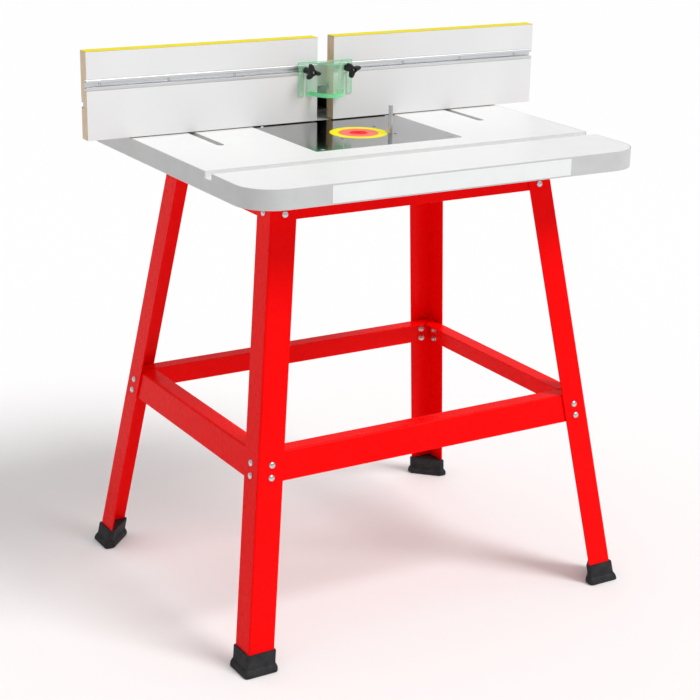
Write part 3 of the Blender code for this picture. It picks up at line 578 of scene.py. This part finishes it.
def fastener_tree():
    """Node tree that sets a crowned, many-sided or six-sided fastener on every point it is given."""
    tree = bpy.data.node_groups.new("fasteners_on_holes", "GeometryNodeTree")
    face = tree.interface
    face.new_socket("Holes", in_out="INPUT", socket_type="NodeSocketGeometry")
    sizes = (("Sides", "NodeSocketInt", 32), ("Radius", "NodeSocketFloat", 0.006),
             ("Height", "NodeSocketFloat", 0.001), ("Crown Height", "NodeSocketFloat", 0.002),
             ("Crown Size", "NodeSocketFloat", 0.3), ("Socket Size", "NodeSocketFloat", 0.5),
             ("Socket Depth", "NodeSocketFloat", 0.0))
    for label, kind, value in sizes:
        face.new_socket(label, in_out="INPUT", socket_type=kind).default_value = value
    face.new_socket("Material", in_out="INPUT", socket_type="NodeSocketMaterial")
    face.new_socket("Fasteners", in_out="OUTPUT", socket_type="NodeSocketGeometry")

    nodes = tree.nodes
    links = tree.links
    given = nodes.new("NodeGroupInput")
    result = nodes.new("NodeGroupOutput")

    def give(value, socket):
        """Set a socket to a number, or link it to another socket."""
        if isinstance(value, float):
            socket.default_value = value
        else:
            links.new(value, socket)

    def calculate(operation, *values):
        node = nodes.new("ShaderNodeMath")
        node.operation = operation
        for value, socket in zip(values, node.inputs):
            give(value, socket)
        return node.outputs[0]

    def step_up(mesh, top, rise, size):
        """Raise the top face by rise, then scale it to size times its width."""
        extrude = nodes.new("GeometryNodeExtrudeMesh")
        extrude.mode = "FACES"
        links.new(mesh, extrude.inputs["Mesh"])
        links.new(top, extrude.inputs["Selection"])
        give(rise, extrude.inputs["Offset Scale"])
        scale = nodes.new("GeometryNodeScaleElements")
        scale.domain = "FACE"
        links.new(extrude.outputs["Mesh"], scale.inputs["Geometry"])
        links.new(extrude.outputs["Top"], scale.inputs["Selection"])
        give(size, scale.inputs["Scale"])
        return scale.outputs["Geometry"], extrude.outputs["Top"]

    barrel = nodes.new("GeometryNodeMeshCylinder")
    barrel.fill_type = "NGON"
    links.new(given.outputs["Sides"], barrel.inputs["Vertices"])
    links.new(given.outputs["Radius"], barrel.inputs["Radius"])
    links.new(given.outputs["Height"], barrel.inputs["Depth"])
    lift = nodes.new("GeometryNodeTransform")
    offset = nodes.new("ShaderNodeCombineXYZ")
    links.new(calculate("MULTIPLY", given.outputs["Height"], 0.5), offset.inputs["Z"])
    links.new(offset.outputs["Vector"], lift.inputs["Translation"])
    links.new(barrel.outputs["Mesh"], lift.inputs["Geometry"])

    shape, top = lift.outputs["Geometry"], barrel.outputs["Top"]
    width_before = None
    for step in range(CROWN_STEPS):
        before = math.pi / 2 * step / CROWN_STEPS
        after = math.pi / 2 * (step + 1) / CROWN_STEPS
        rise = calculate("MULTIPLY", given.outputs["Crown Height"], math.sin(after) - math.sin(before))
        share = math.cos(after)
        width = calculate("MULTIPLY_ADD", given.outputs["Crown Size"], 1.0 - share, share)
        ratio = width if width_before is None else calculate("DIVIDE", width, width_before)
        shape, top = step_up(shape, top, rise, ratio)
        width_before = width
    shape, top = step_up(shape, top, 0.0, given.outputs["Socket Size"])
    sink = calculate("MULTIPLY", given.outputs["Socket Depth"], -1.0)
    shape, top = step_up(shape, top, sink, SOCKET_TAPER)

    facing = nodes.new("GeometryNodeInputNamedAttribute")
    facing.data_type = "FLOAT_VECTOR"
    facing.inputs["Name"].default_value = "facing"
    align = nodes.new("FunctionNodeAlignRotationToVector")
    align.axis = "Z"
    links.new(facing.outputs["Attribute"], align.inputs["Vector"])
    place = nodes.new("GeometryNodeInstanceOnPoints")
    links.new(given.outputs["Holes"], place.inputs["Points"])
    links.new(shape, place.inputs["Instance"])
    links.new(align.outputs["Rotation"], place.inputs["Rotation"])
    real = nodes.new("GeometryNodeRealizeInstances")
    links.new(place.outputs["Instances"], real.inputs["Geometry"])
    coat = nodes.new("GeometryNodeSetMaterial")
    links.new(real.outputs["Geometry"], coat.inputs["Geometry"])
    links.new(given.outputs["Material"], coat.inputs["Material"])
    links.new(coat.outputs["Geometry"], result.inputs["Fasteners"])
    return tree


FASTENERS = fastener_tree()


def set_fasteners(name, holes, body, **sizes):
    """Zinc-plated fasteners on a list of (place, direction) holes, as one plain mesh."""
    mesh = bpy.data.meshes.new(name)
    mesh.from_pydata([place for place, _ in holes], [], [])
    facing = mesh.attributes.new("facing", "FLOAT_VECTOR", "POINT")
    for number, (_, direction) in enumerate(holes):
        facing.data[number].vector = direction
    piece = bpy.data.objects.new(name, mesh)
    bpy.context.scene.collection.objects.link(piece)
    modifier = piece.modifiers.new("fasteners", "NODES")
    modifier.node_group = FASTENERS
    wanted = {label.replace("_", " ").title(): value for label, value in sizes.items()}
    wanted["Material"] = zinc
    for socket in FASTENERS.interface.items_tree:
        if socket.in_out == "INPUT" and socket.name in wanted:
            modifier[socket.identifier] = wanted[socket.name]
    settle(piece)
    piece.data.shade_smooth()
    piece.data.set_sharp_from_angle(angle=FASTENER_SHARP_ANGLE)
    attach(piece, body)


BOLT_FROM_CORNER = 0.027
STRETCHER_BOLT_LEVELS = (0.3405, 0.3625)
RAIL_BOLT_LEVELS = (0.785, 0.808)
SHEET_PAIR = 0.0063
WASHER_THICKNESS = 0.0012

outside_holes = []
inside_holes = []
for corner, side_x, side_y in CORNERS:
    low, high = leg_line(corner)
    climb = (high - low) / (high.z - low.z)
    for level in STRETCHER_BOLT_LEVELS + RAIL_BOLT_LEVELS:
        edge_point = leg_corner(corner, level)
        faces = ((Vector((-side_x * BOLT_FROM_CORNER, 0, 0)), Vector((0, side_y, -side_y * climb.y))),
                 (Vector((0, -side_y * BOLT_FROM_CORNER, 0)), Vector((side_x, 0, -side_x * climb.x))))
        for shift, outward in faces:
            normal = outward.normalized()
            outside_holes.append((edge_point + shift, normal))
            inside_holes.append((edge_point + shift - normal * SHEET_PAIR, -normal))

set_fasteners("stand_bolt_heads", outside_holes, "table", sides=32, radius=0.0061, height=0.0006,
              crown_height=0.0027, crown_size=0.12)
set_fasteners("stand_washers", inside_holes, "table", sides=32, radius=0.0067,
              height=WASHER_THICKNESS - 0.0002, crown_height=0.0002, crown_size=0.95)
nut_seats = [(place + normal * WASHER_THICKNESS, normal) for place, normal in inside_holes]
set_fasteners("stand_nuts", nut_seats, "table", sides=6, radius=0.0058, height=0.0040,
              crown_height=0.0006, crown_size=0.84, socket_size=0.66, socket_depth=0.0008)
set_fasteners("stand_bolt_ends", nut_seats, "table", sides=20, radius=0.0030, height=0.0062,
              crown_height=0.0005, crown_size=0.8)


# -------------------------------------------------------------------------------- rubber feet
# Black rubber boots are pushed over the ends of the legs. Each has two straight outer walls with
# round corners, a diagonal inner side, and a thick bead round its sole.

rubber = new_material("black_rubber", (grain(70.0, 4.0), (0.014, 0.014, 0.016), (0.030, 0.030, 0.032)),
                      (grain(220.0), 0.50, 0.74), (grain(500.0, 4.0), 0.30, 0.0004), specular=0.20)

LEG_FLANGE = 0.050
LEG_SHEET = 0.003
FOOT_WALL = 0.0035
FOOT_BEAD = 0.008
FOOT_CORNER_POINTS = 7
FOOT_GAP = 0.0002
FOOT_SOCKET = 0.012
SLOT_SHARES = (7, 7, 4, 6, 4, 7)


def rounded(points, radius):
    """Round the corners of an outline given in order."""
    smooth = []
    count = len(points)
    for index in range(count):
        here = Vector(points[index])
        before = Vector(points[index - 1]) - here
        after = Vector(points[(index + 1) % count]) - here
        half = before.angle(after) / 2
        reach = min(radius / math.tan(half), before.length * 0.45, after.length * 0.45)
        bend = reach * math.tan(half)
        start = here + before.normalized() * reach
        end = here + after.normalized() * reach
        centre = here + (before.normalized() + after.normalized()).normalized() * (bend / math.sin(half))
        first = start - centre
        last = end - centre
        sweep = first.angle_signed(last)
        for step in range(FOOT_CORNER_POINTS):
            turn = Matrix.Rotation(-sweep * step / (FOOT_CORNER_POINTS - 1), 2)
            smooth.append(tuple(centre + turn @ first))
    return smooth


def boot_ring(corner, side_x, side_y, height, grow, radius):
    """Outline of the boot at a height, grown out from the leg by a wall."""
    edge_point = leg_corner(corner, height)
    x, y = abs(edge_point.x), abs(edge_point.y)
    reach = LEG_FLANGE + grow
    thick = LEG_SHEET + grow
    flat = [(x + grow, y + grow), (x - reach, y + grow), (x - reach, y - thick),
            (x - thick, y - reach), (x + grow, y - reach)]
    return [(side_x * px, side_y * py) for px, py in rounded(flat, radius)], height


def slot_ring(corner, side_x, side_y, height):
    """The leg's own angle section just outside its sheet, with as many points as the boot's outline."""
    edge_point = leg_corner(corner, height)
    gap = FOOT_GAP
    x, y = abs(edge_point.x) + gap, abs(edge_point.y) + gap
    thin = LEG_SHEET + 2 * gap
    wide = LEG_FLANGE + 2 * gap
    corners = [(x, y), (x - wide, y), (x - wide, y - thin), (x - thin, y - thin), (x - thin, y - wide),
               (x, y - wide)]
    points = []
    for index, share in enumerate(SLOT_SHARES):
        start, end = Vector(corners[index]), Vector(corners[(index + 1) % 6])
        for step in range(share):
            point = start.lerp(end, step / share)
            points.append((side_x * point.x, side_y * point.y))
    return points, height


foot_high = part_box("foot_front_left")[1].z
for corner, side_x, side_y in CORNERS:
    # Each level is its height, how far the rubber stands out from the leg, and its corners' radius.
    levels = ((0.0, FOOT_BEAD - 0.0016, 0.006), (0.0010, FOOT_BEAD - 0.0003, 0.007),
              (0.0030, FOOT_BEAD, 0.007), (0.0075, FOOT_BEAD - 0.0004, 0.007),
              (0.0105, FOOT_BEAD - 0.0018, 0.006), (0.0122, FOOT_WALL + 0.0020, 0.005),
              (0.0136, FOOT_WALL + 0.0004, 0.004), (0.0180, FOOT_WALL, 0.004),
              (foot_high - 0.0016, FOOT_WALL, 0.004), (foot_high - 0.0004, FOOT_WALL - 0.0004, 0.0037),
              (foot_high, FOOT_WALL - 0.0012, 0.003))
    rings = [boot_ring(corner, side_x, side_y, *level) for level in levels]
    rings += [slot_ring(corner, side_x, side_y, level) for level in (foot_high, foot_high - FOOT_SOCKET)]
    make_piece("rubber_boot_" + corner, stack(rings), "table", [rubber], ["foot_" + corner])


# ------------------------------------------------------------------------------- fence boards
# Each half of the fence is a 25 mm board with white melamine faces. Its sawn ends and its two
# T-track grooves show the bare brown fibreboard. A yellow strip closes the top edge.

fibreboard = new_material(
    "bare_fibreboard", (grain((120.0, 420.0, 60.0), 5.0), (0.68, 0.51, 0.35), (0.80, 0.65, 0.49)),
    0.8, (grain((900.0, 1400.0, 500.0), 5.0), 0.5, 0.0004), specular=0.2)
board_laminate = new_material("fence_laminate", (grain(6.0, 2.0), (0.775, 0.775, 0.78), (0.805, 0.805, 0.81)),
                              (grain(50.0), 0.33, 0.43), (grain(900.0, 2.0), 0.10, 0.0002))
yellow_strip = moulded("yellow_edge_strip", (0.90, 0.76, 0.010), 0.38)

for side in ("left", "right"):
    low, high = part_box(side + "_fence_board")

    def board_face(face, front=low.y, back=high.y):
        """Laminate on the two big faces, bare fibreboard on the rest."""
        depth = face.calc_center_median().y
        return 0 if abs(depth - front) < ON_FACE or abs(depth - back) < ON_FACE else 1

    make_piece(side + "_board", copy_of(side + "_fence_board"), side + "_board",
               [board_laminate, fibreboard], [side + "_fence_board"], edge=0.0003, choose=board_face)
    make_piece(side + "_yellow_strip", copy_of(side + "_top_strip"), side + "_board",
               [yellow_strip], [side + "_top_strip"], edge=0.0003)


# ------------------------------------------------------------------------------------ T-tracks
# Extruded aluminium T-tracks are let into both faces of each board and screwed down through
# their floors with small countersunk screws.

extrusion = new_material(
    "extruded_aluminium", (grain((6.0, 900.0, 900.0)), (0.66, 0.67, 0.69), (0.78, 0.79, 0.80)),
    (grain((8.0, 1200.0, 1200.0)), 0.27, 0.42), (grain((5.0, 2200.0, 2200.0), 2.0), 0.12, 0.0001),
    metallic=1.0)

TRACK_WALL = 0.0017
TRACK_LIP = 0.0040
TRACK_SCREWS = {"front": (0.178, 0.311, 0.444), "back": (0.062, 0.245, 0.455)}
LEFT_SCREW_SHIFT = 0.010


def track_section(mouth, middle_z, height, depth, inward):
    """C-shaped section with round-nosed lips and a shallow rib on each side of its floor."""
    half = height / 2
    wall = TRACK_WALL
    nose = 0.0004
    rib = 0.0005
    upper = [(wall, TRACK_LIP + 0.0002), (wall - nose, TRACK_LIP), (nose, TRACK_LIP),
             (0.0, TRACK_LIP + nose), (0.0, half - 0.0010), (0.0003, half - 0.0006), (0.0003, half - 0.0002),
             (0.0005, half), (depth, half)]
    inner = [(depth - wall, 0.0030), (depth - wall - rib, 0.0034), (depth - wall - rib, 0.0042),
             (depth - wall, 0.0046), (depth - wall, half - wall - 0.0004),
             (depth - wall - 0.0004, half - wall), (wall, half - wall)]
    outline = upper + [(y, -z) for y, z in reversed(upper)]
    outline += [(y, -z) for y, z in reversed(inner)] + inner
    return [(mouth + inward * y, middle_z + z) for y, z in outline]


def extruded(section, start, end):
    """Extrude a section of (y, z) points along X."""
    build = bmesh.new()
    loops = [[build.verts.new((x, y, z)) for y, z in section] for x in (start, end)]
    count = len(section)
    for loop in loops:
        build.faces.new(loop)
    for index in range(count):
        after = (index + 1) % count
        build.faces.new((loops[0][index], loops[0][after], loops[1][after], loops[1][index]))
    bmesh.ops.recalc_face_normals(build, faces=build.faces)
    return build


for side, sign in (("left", -1), ("right", 1)):
    for face, inward in (("front", 1), ("back", -1)):
        node = "%s_%s_track" % (side, face)
        low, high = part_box(node)
        mouth = low.y if inward > 0 else high.y
        depth = high.y - low.y
        middle_z = (low.z + high.z) / 2
        section = track_section(mouth, middle_z, high.z - low.z, depth, inward)
        make_piece("extruded_" + node, extruded(section, low.x, high.x), side + "_board",
                   [extrusion], [node])
        floor_y = mouth + inward * (depth - TRACK_WALL)
        holes = [((sign * (x + (LEFT_SCREW_SHIFT if sign < 0 else 0)), floor_y, middle_z), (0, -inward, 0))
                 for x in TRACK_SCREWS[face]]
        set_fasteners(node + "_screws", holes, side + "_board", sides=24, radius=0.0029, height=0.0002,
                      crown_height=0.0005, crown_size=0.8, socket_size=0.5, socket_depth=0.0006)


# ---------------------------------------------------------------------------- fence bracket
# A long aluminium angle carries both boards and slides on the worktop. It is cut away in the
# middle so that chips can pass under the hood.

milled = new_material(
    "milled_aluminium", (grain((7.0, 500.0, 500.0)), (0.60, 0.61, 0.63), (0.72, 0.73, 0.75)),
    (grain((10.0, 900.0, 900.0)), 0.32, 0.48), (grain((6.0, 1500.0, 1500.0), 2.0), 0.10, 0.0001),
    metallic=1.0)
make_piece("milled_fence_bracket", copy_of("fence_bracket"), "fence", [milled],
           ["fence_bracket"], edge=0.0006, segments=3)


# -------------------------------------------------------------------------------- dust hood
# A moulded black hood covers the gap behind the boards. Two ears screw it to the bracket, and
# its round port with shallow barbs takes a suction hose.

hood_plastic = new_material("hood_plastic", (grain(90.0), (0.014, 0.014, 0.015), (0.023, 0.023, 0.024)),
                            (grain(300.0), 0.40, 0.54), (cells(1300.0), 0.20, 0.0002))
make_piece("moulded_dust_hood", copy_of("dust_hood"), "fence", [hood_plastic],
           ["dust_hood"], edge=0.0010, segments=3)

PORT_RADIUS = 0.0315
PORT_HEIGHT = 0.911
BARB_STARTS = (0.006, 0.015, 0.024)
EAR_THICKNESS = 0.003
EAR_X = 0.0535
EAR_LEVELS = (0.886, 0.938)

hood_low, hood_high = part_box("dust_hood")
barb = [(PORT_RADIUS - 0.0006, 0.0), (PORT_RADIUS + 0.0008, 0.0005), (PORT_RADIUS - 0.0006, 0.0048)]
barbs = []
for start in BARB_STARTS:
    to_port = Matrix.Translation((0, hood_high.y - start, PORT_HEIGHT)) @ Matrix.Rotation(math.pi / 2, 4, "X")
    barbs.append(turned(barb, 64, closed=True, place=to_port))
make_piece("hose_barbs", join(barbs), "fence", [hood_plastic])

ear_face = hood_low.y + EAR_THICKNESS
ear_holes = [((sign * EAR_X, ear_face, height), (0, 1, 0)) for sign in (-1, 1) for height in EAR_LEVELS]
set_fasteners("hood_screws", ear_holes, "fence", sides=28, radius=0.0040, height=0.0005,
              crown_height=0.0016, crown_size=0.35, socket_size=0.62, socket_depth=0.0008)


# ------------------------------------------------------------------------ bolts and lobed knobs
# Square-headed bolts sit in the slots and tracks. Each carries a moulded knob with three tapered
# lobes round a bored boss, on a round stem.

knob_plastic = new_material("knob_plastic", (grain(120.0), (0.012, 0.012, 0.013), (0.021, 0.021, 0.023)),
                            (grain(400.0), 0.38, 0.54), (cells(1200.0), 0.22, 0.0002), specular=0.25)

KNOB_SEGMENTS = 72
KNOB_STEM = 0.0062
LOBE_SHARPNESS = 2.3
BOLT_SEGMENTS = 24
THREAD_DEPTH_SHARE = 0.3


def lobed(root, tip, segments):
    """Outline with three tapered lobes."""
    points = []
    for index in range(segments):
        turn = 2 * math.pi * index / segments
        radius = root + (tip - root) * (0.5 + 0.5 * math.cos(3 * turn)) ** LOBE_SHARPNESS
        points.append((radius * math.cos(turn), radius * math.sin(turn)))
    return points


def knob_shape(tip, head, bore, length, place):
    """Three-lobed knob along its axis, from its stem's end at zero to its face."""
    under = length - head
    boss = KNOB_STEM * 0.92
    levels = ((circle, (KNOB_STEM - 0.0004,), 0.0), (circle, (KNOB_STEM,), 0.0005),
              (circle, (KNOB_STEM,), under - 0.0008), (lobed, (KNOB_STEM, tip - 0.0016), under),
              (lobed, (KNOB_STEM, tip - 0.0003), under + 0.0007), (lobed, (KNOB_STEM, tip), under + 0.0020),
              (lobed, (KNOB_STEM, tip - 0.0002), length - 0.0042),
              (lobed, (KNOB_STEM - 0.0001, tip - 0.0006), length - 0.0034),
              (lobed, (KNOB_STEM - 0.0003, tip - 0.0014), length - 0.0030),
              (lobed, (boss, tip * 0.62), length - 0.0016), (circle, (boss - 0.0004,), length - 0.0006),
              (circle, (boss - 0.0008,), length), (circle, (bore + 0.0006,), length),
              (circle, (bore,), length - 0.0006), (circle, (bore,), 0.0))
    rings = [(outline(*sizes, KNOB_SEGMENTS), height) for outline, sizes, height in levels]
    return stack(rings, closed=True, place=place)


def bolt_shape(head, head_thickness, radius, pitch, length, place):
    """Square-headed bolt with a rolled thread, from the back of its head at zero."""
    def square(half):
        points = []
        for x, y in circle(1.0, BOLT_SEGMENTS):
            scale = half / max(abs(x), abs(y))
            corner = min(1.0, 1.30 * half / math.hypot(x * scale, y * scale))
            points.append((x * scale * corner, y * scale * corner))
        return points

    half = head / 2
    rings = [(square(half - 0.0004), 0.0), (square(half), 0.0004), (square(half), head_thickness - 0.0004),
             (square(half - 0.0004), head_thickness), (circle(radius, BOLT_SEGMENTS), head_thickness)]
    height = head_thickness + 0.0015
    rings.append((circle(radius, BOLT_SEGMENTS), height))
    while height < length - 1.5 * pitch:
        rings.append((circle(radius - THREAD_DEPTH_SHARE * pitch, BOLT_SEGMENTS), height + pitch / 2))
        rings.append((circle(radius, BOLT_SEGMENTS), height + pitch))
        height += pitch
    rings.append((circle(radius * 0.75, BOLT_SEGMENTS), length))
    return stack(rings, place=place)


UP = Matrix.Identity(4)
TO_BACK = Matrix.Rotation(-math.pi / 2, 4, "X")
TO_FRONT = Matrix.Rotation(math.pi / 2, 4, "X")


def seat(node, axis, direction):
    """Where a piece starts on its bolt's axis, and its length."""
    low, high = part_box(node)
    if direction is UP:
        return Vector((axis.x, axis.y, low.z)), high.z - low.z
    return Vector((axis.x, low.y if direction is TO_BACK else high.y, axis.z)), high.y - low.y


def fit_pair(bolt, knob, body, direction, bolt_sizes, knob_sizes, turn=0.0):
    """Bolt and knob in the places of a CAD pair. The bolt's box gives its head's width and its axis."""
    low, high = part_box(bolt)
    axis = middle_of(bolt)
    start, length = seat(bolt, axis, direction)
    shape = bolt_shape(high.x - low.x, *bolt_sizes, length, Matrix.Translation(start) @ direction)
    make_piece("threaded_" + bolt, shape, body, [zinc], [bolt])
    start, length = seat(knob, axis, direction)
    place = Matrix.Translation(start) @ direction @ Matrix.Rotation(math.radians(turn), 4, "Z")
    make_piece("moulded_" + knob, knob_shape(*knob_sizes, length, place), knob,
               [knob_plastic], [knob])


# A bolt's sizes are its head's thickness, radius and pitch. A knob's are its tip's radius, its
# head's thickness and its bore.
M8_BOLT = (0.007, 0.004, 0.00125)
M6_BOLT = (0.004, 0.003, 0.001)
for side, sign in (("left", -1), ("right", 1)):
    fit_pair("fence_clamp_bolt_" + side, "fence_clamp_knob_" + side, "fence", UP, M8_BOLT,
             (0.020, 0.016, 0.0043), 20 * sign)
    for where in ("_inner", "_outer"):
        fit_pair("board_bolt_" + side + where, "board_knob_" + side + where, "fence", TO_BACK, M6_BOLT,
                 (0.0175, 0.014, 0.0033))
    fit_pair("guard_bolt_" + side, "guard_knob_" + side, "guard_slider", TO_FRONT, M6_BOLT,
             (0.0165, 0.012, 0.0033), 13 * sign)


# ---------------------------------------------------------------------------------- bit guard
# The guard is moulded from clear green acrylic: two flanges with open slots for its bolts, and a
# half-round visor with a thin roof and a thicker rim. Its cut edges are a denser green with a painted glow.

acrylic = new_material("clear_green_acrylic", (0.58, 0.98, 0.70), (grain(60.0), 0.01, 0.05),
                       (grain(90.0, 2.0), 0.03, 0.0003), alpha=0.20)
acrylic_edge_painted_glow = new_material("acrylic_edge_with_painted_glow", (grain(120.0), (0.13, 0.76, 0.33), (0.30, 0.92, 0.50)),
                            0.20, (grain(600.0), 0.10, 0.0002), alpha=0.72)
# Painted glow: the edge faces emit a faint green light of their own, though they are no lamp.
shader = acrylic_edge_painted_glow.node_tree.nodes["Principled BSDF"]
shader.inputs["Emission Color"].default_value = (0.14, 0.80, 0.34, 1)
shader.inputs["Emission Strength"].default_value = 0.08

guard_low, guard_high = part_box("bit_guard")
GUARD_WALL = 0.003
VISOR_HALF = 0.032
VISOR_POINTS = 48
RIM_WIDTH = 0.0030
RIM_HEIGHT = 0.0075
ROOF_LINE = 0.0016
GUARD_SLOT_HALF = 0.0033
BEYOND = 0.01
guard_x = (guard_low.x + guard_high.x) / 2
flange_front = guard_high.y - GUARD_WALL
visor_depth = flange_front - guard_low.y


def half_round(half, depth):
    """Elliptic front of the visor, from right to left."""
    steps = [math.pi * index / VISOR_POINTS for index in range(VISOR_POINTS + 1)]
    return [(guard_x + half * math.cos(step), flange_front - depth * math.sin(step)) for step in steps]


def upright(outline, low, high):
    """Extrude an outline of (x, y) points along Z."""
    return stack([(outline, low), (outline, high)])


def cut(piece, build):
    """Cut a shape out of a piece."""
    cutter = new_object("cutter", build)
    mesh = cutter.data
    boolean = piece.modifiers.new("cut", "BOOLEAN")
    boolean.solver = "EXACT"
    boolean.object = cutter
    bpy.context.view_layer.update()
    settle(piece)
    bpy.data.objects.remove(cutter)
    bpy.data.meshes.remove(mesh)


outline = [(guard_high.x, guard_high.y), (guard_high.x, flange_front)]
outline += half_round(VISOR_HALF, visor_depth)
outline += [(guard_low.x, flange_front), (guard_low.x, guard_high.y)]
blank = new_object("guard_blank", upright(outline, guard_low.z, guard_high.z))
for inset, low_z, high_z in ((0.0, guard_low.z + RIM_HEIGHT, guard_high.z - GUARD_WALL),
                             (RIM_WIDTH, guard_low.z - BEYOND, guard_low.z + RIM_HEIGHT + 0.001)):
    half = VISOR_HALF - GUARD_WALL - inset
    hollow = [(guard_x + half, guard_high.y + BEYOND)]
    hollow += half_round(half, visor_depth - GUARD_WALL - inset)
    hollow += [(guard_x - half, guard_high.y + BEYOND)]
    cut(blank, upright(hollow, low_z, high_z))
slot_high = middle_of("guard_bolt_left").z + 0.001
half = GUARD_SLOT_HALF
for side in ("left", "right"):
    x = middle_of("guard_bolt_" + side).x
    turns = [math.pi * step / 16 for step in range(17)]
    section = [(x - half, guard_low.z - BEYOND), (x + half, guard_low.z - BEYOND)]
    section += [(x + half * math.cos(turn), slot_high + half * math.sin(turn)) for turn in turns]
    shape = stack([(section, 0.0), (section, 0.02)], place=Matrix.Translation((0, guard_high.y + 0.005, 0))
                  @ Matrix.Rotation(math.pi / 2, 4, "X"))
    cut(blank, shape)
build = bmesh.new()
build.from_mesh(blank.data)
bpy.data.objects.remove(blank)
bmesh.ops.dissolve_limit(build, angle_limit=FLAT_ANGLE, verts=build.verts, edges=build.edges)
for level in (guard_low.z + RIM_HEIGHT, guard_high.z - ROOF_LINE):
    bmesh.ops.bisect_plane(build, geom=build.verts[:] + build.edges[:] + build.faces[:],
                           plane_co=(0, 0, level), plane_no=(0, 0, 1))


def guard_face(face):
    """Edge faces, which get the denser green with its painted glow: the visor's rim, the front edge of its
    roof, the flanges' ends and the slots' walls.
    """
    middle = face.calc_center_median()
    if abs(middle.x - guard_x) > VISOR_HALF + 0.001:
        return 1 if abs(face.normal.y) < 0.7 else 0
    rim = middle.z < guard_low.z + RIM_HEIGHT
    roof_line = middle.z > guard_high.z - ROOF_LINE and abs(face.normal.z) < 0.7
    return 1 if rim or roof_line else 0


make_piece("acrylic_bit_guard", build, "guard", [acrylic, acrylic_edge_painted_glow], ["bit_guard"],
           edge=0.0005, segments=3, choose=guard_face)
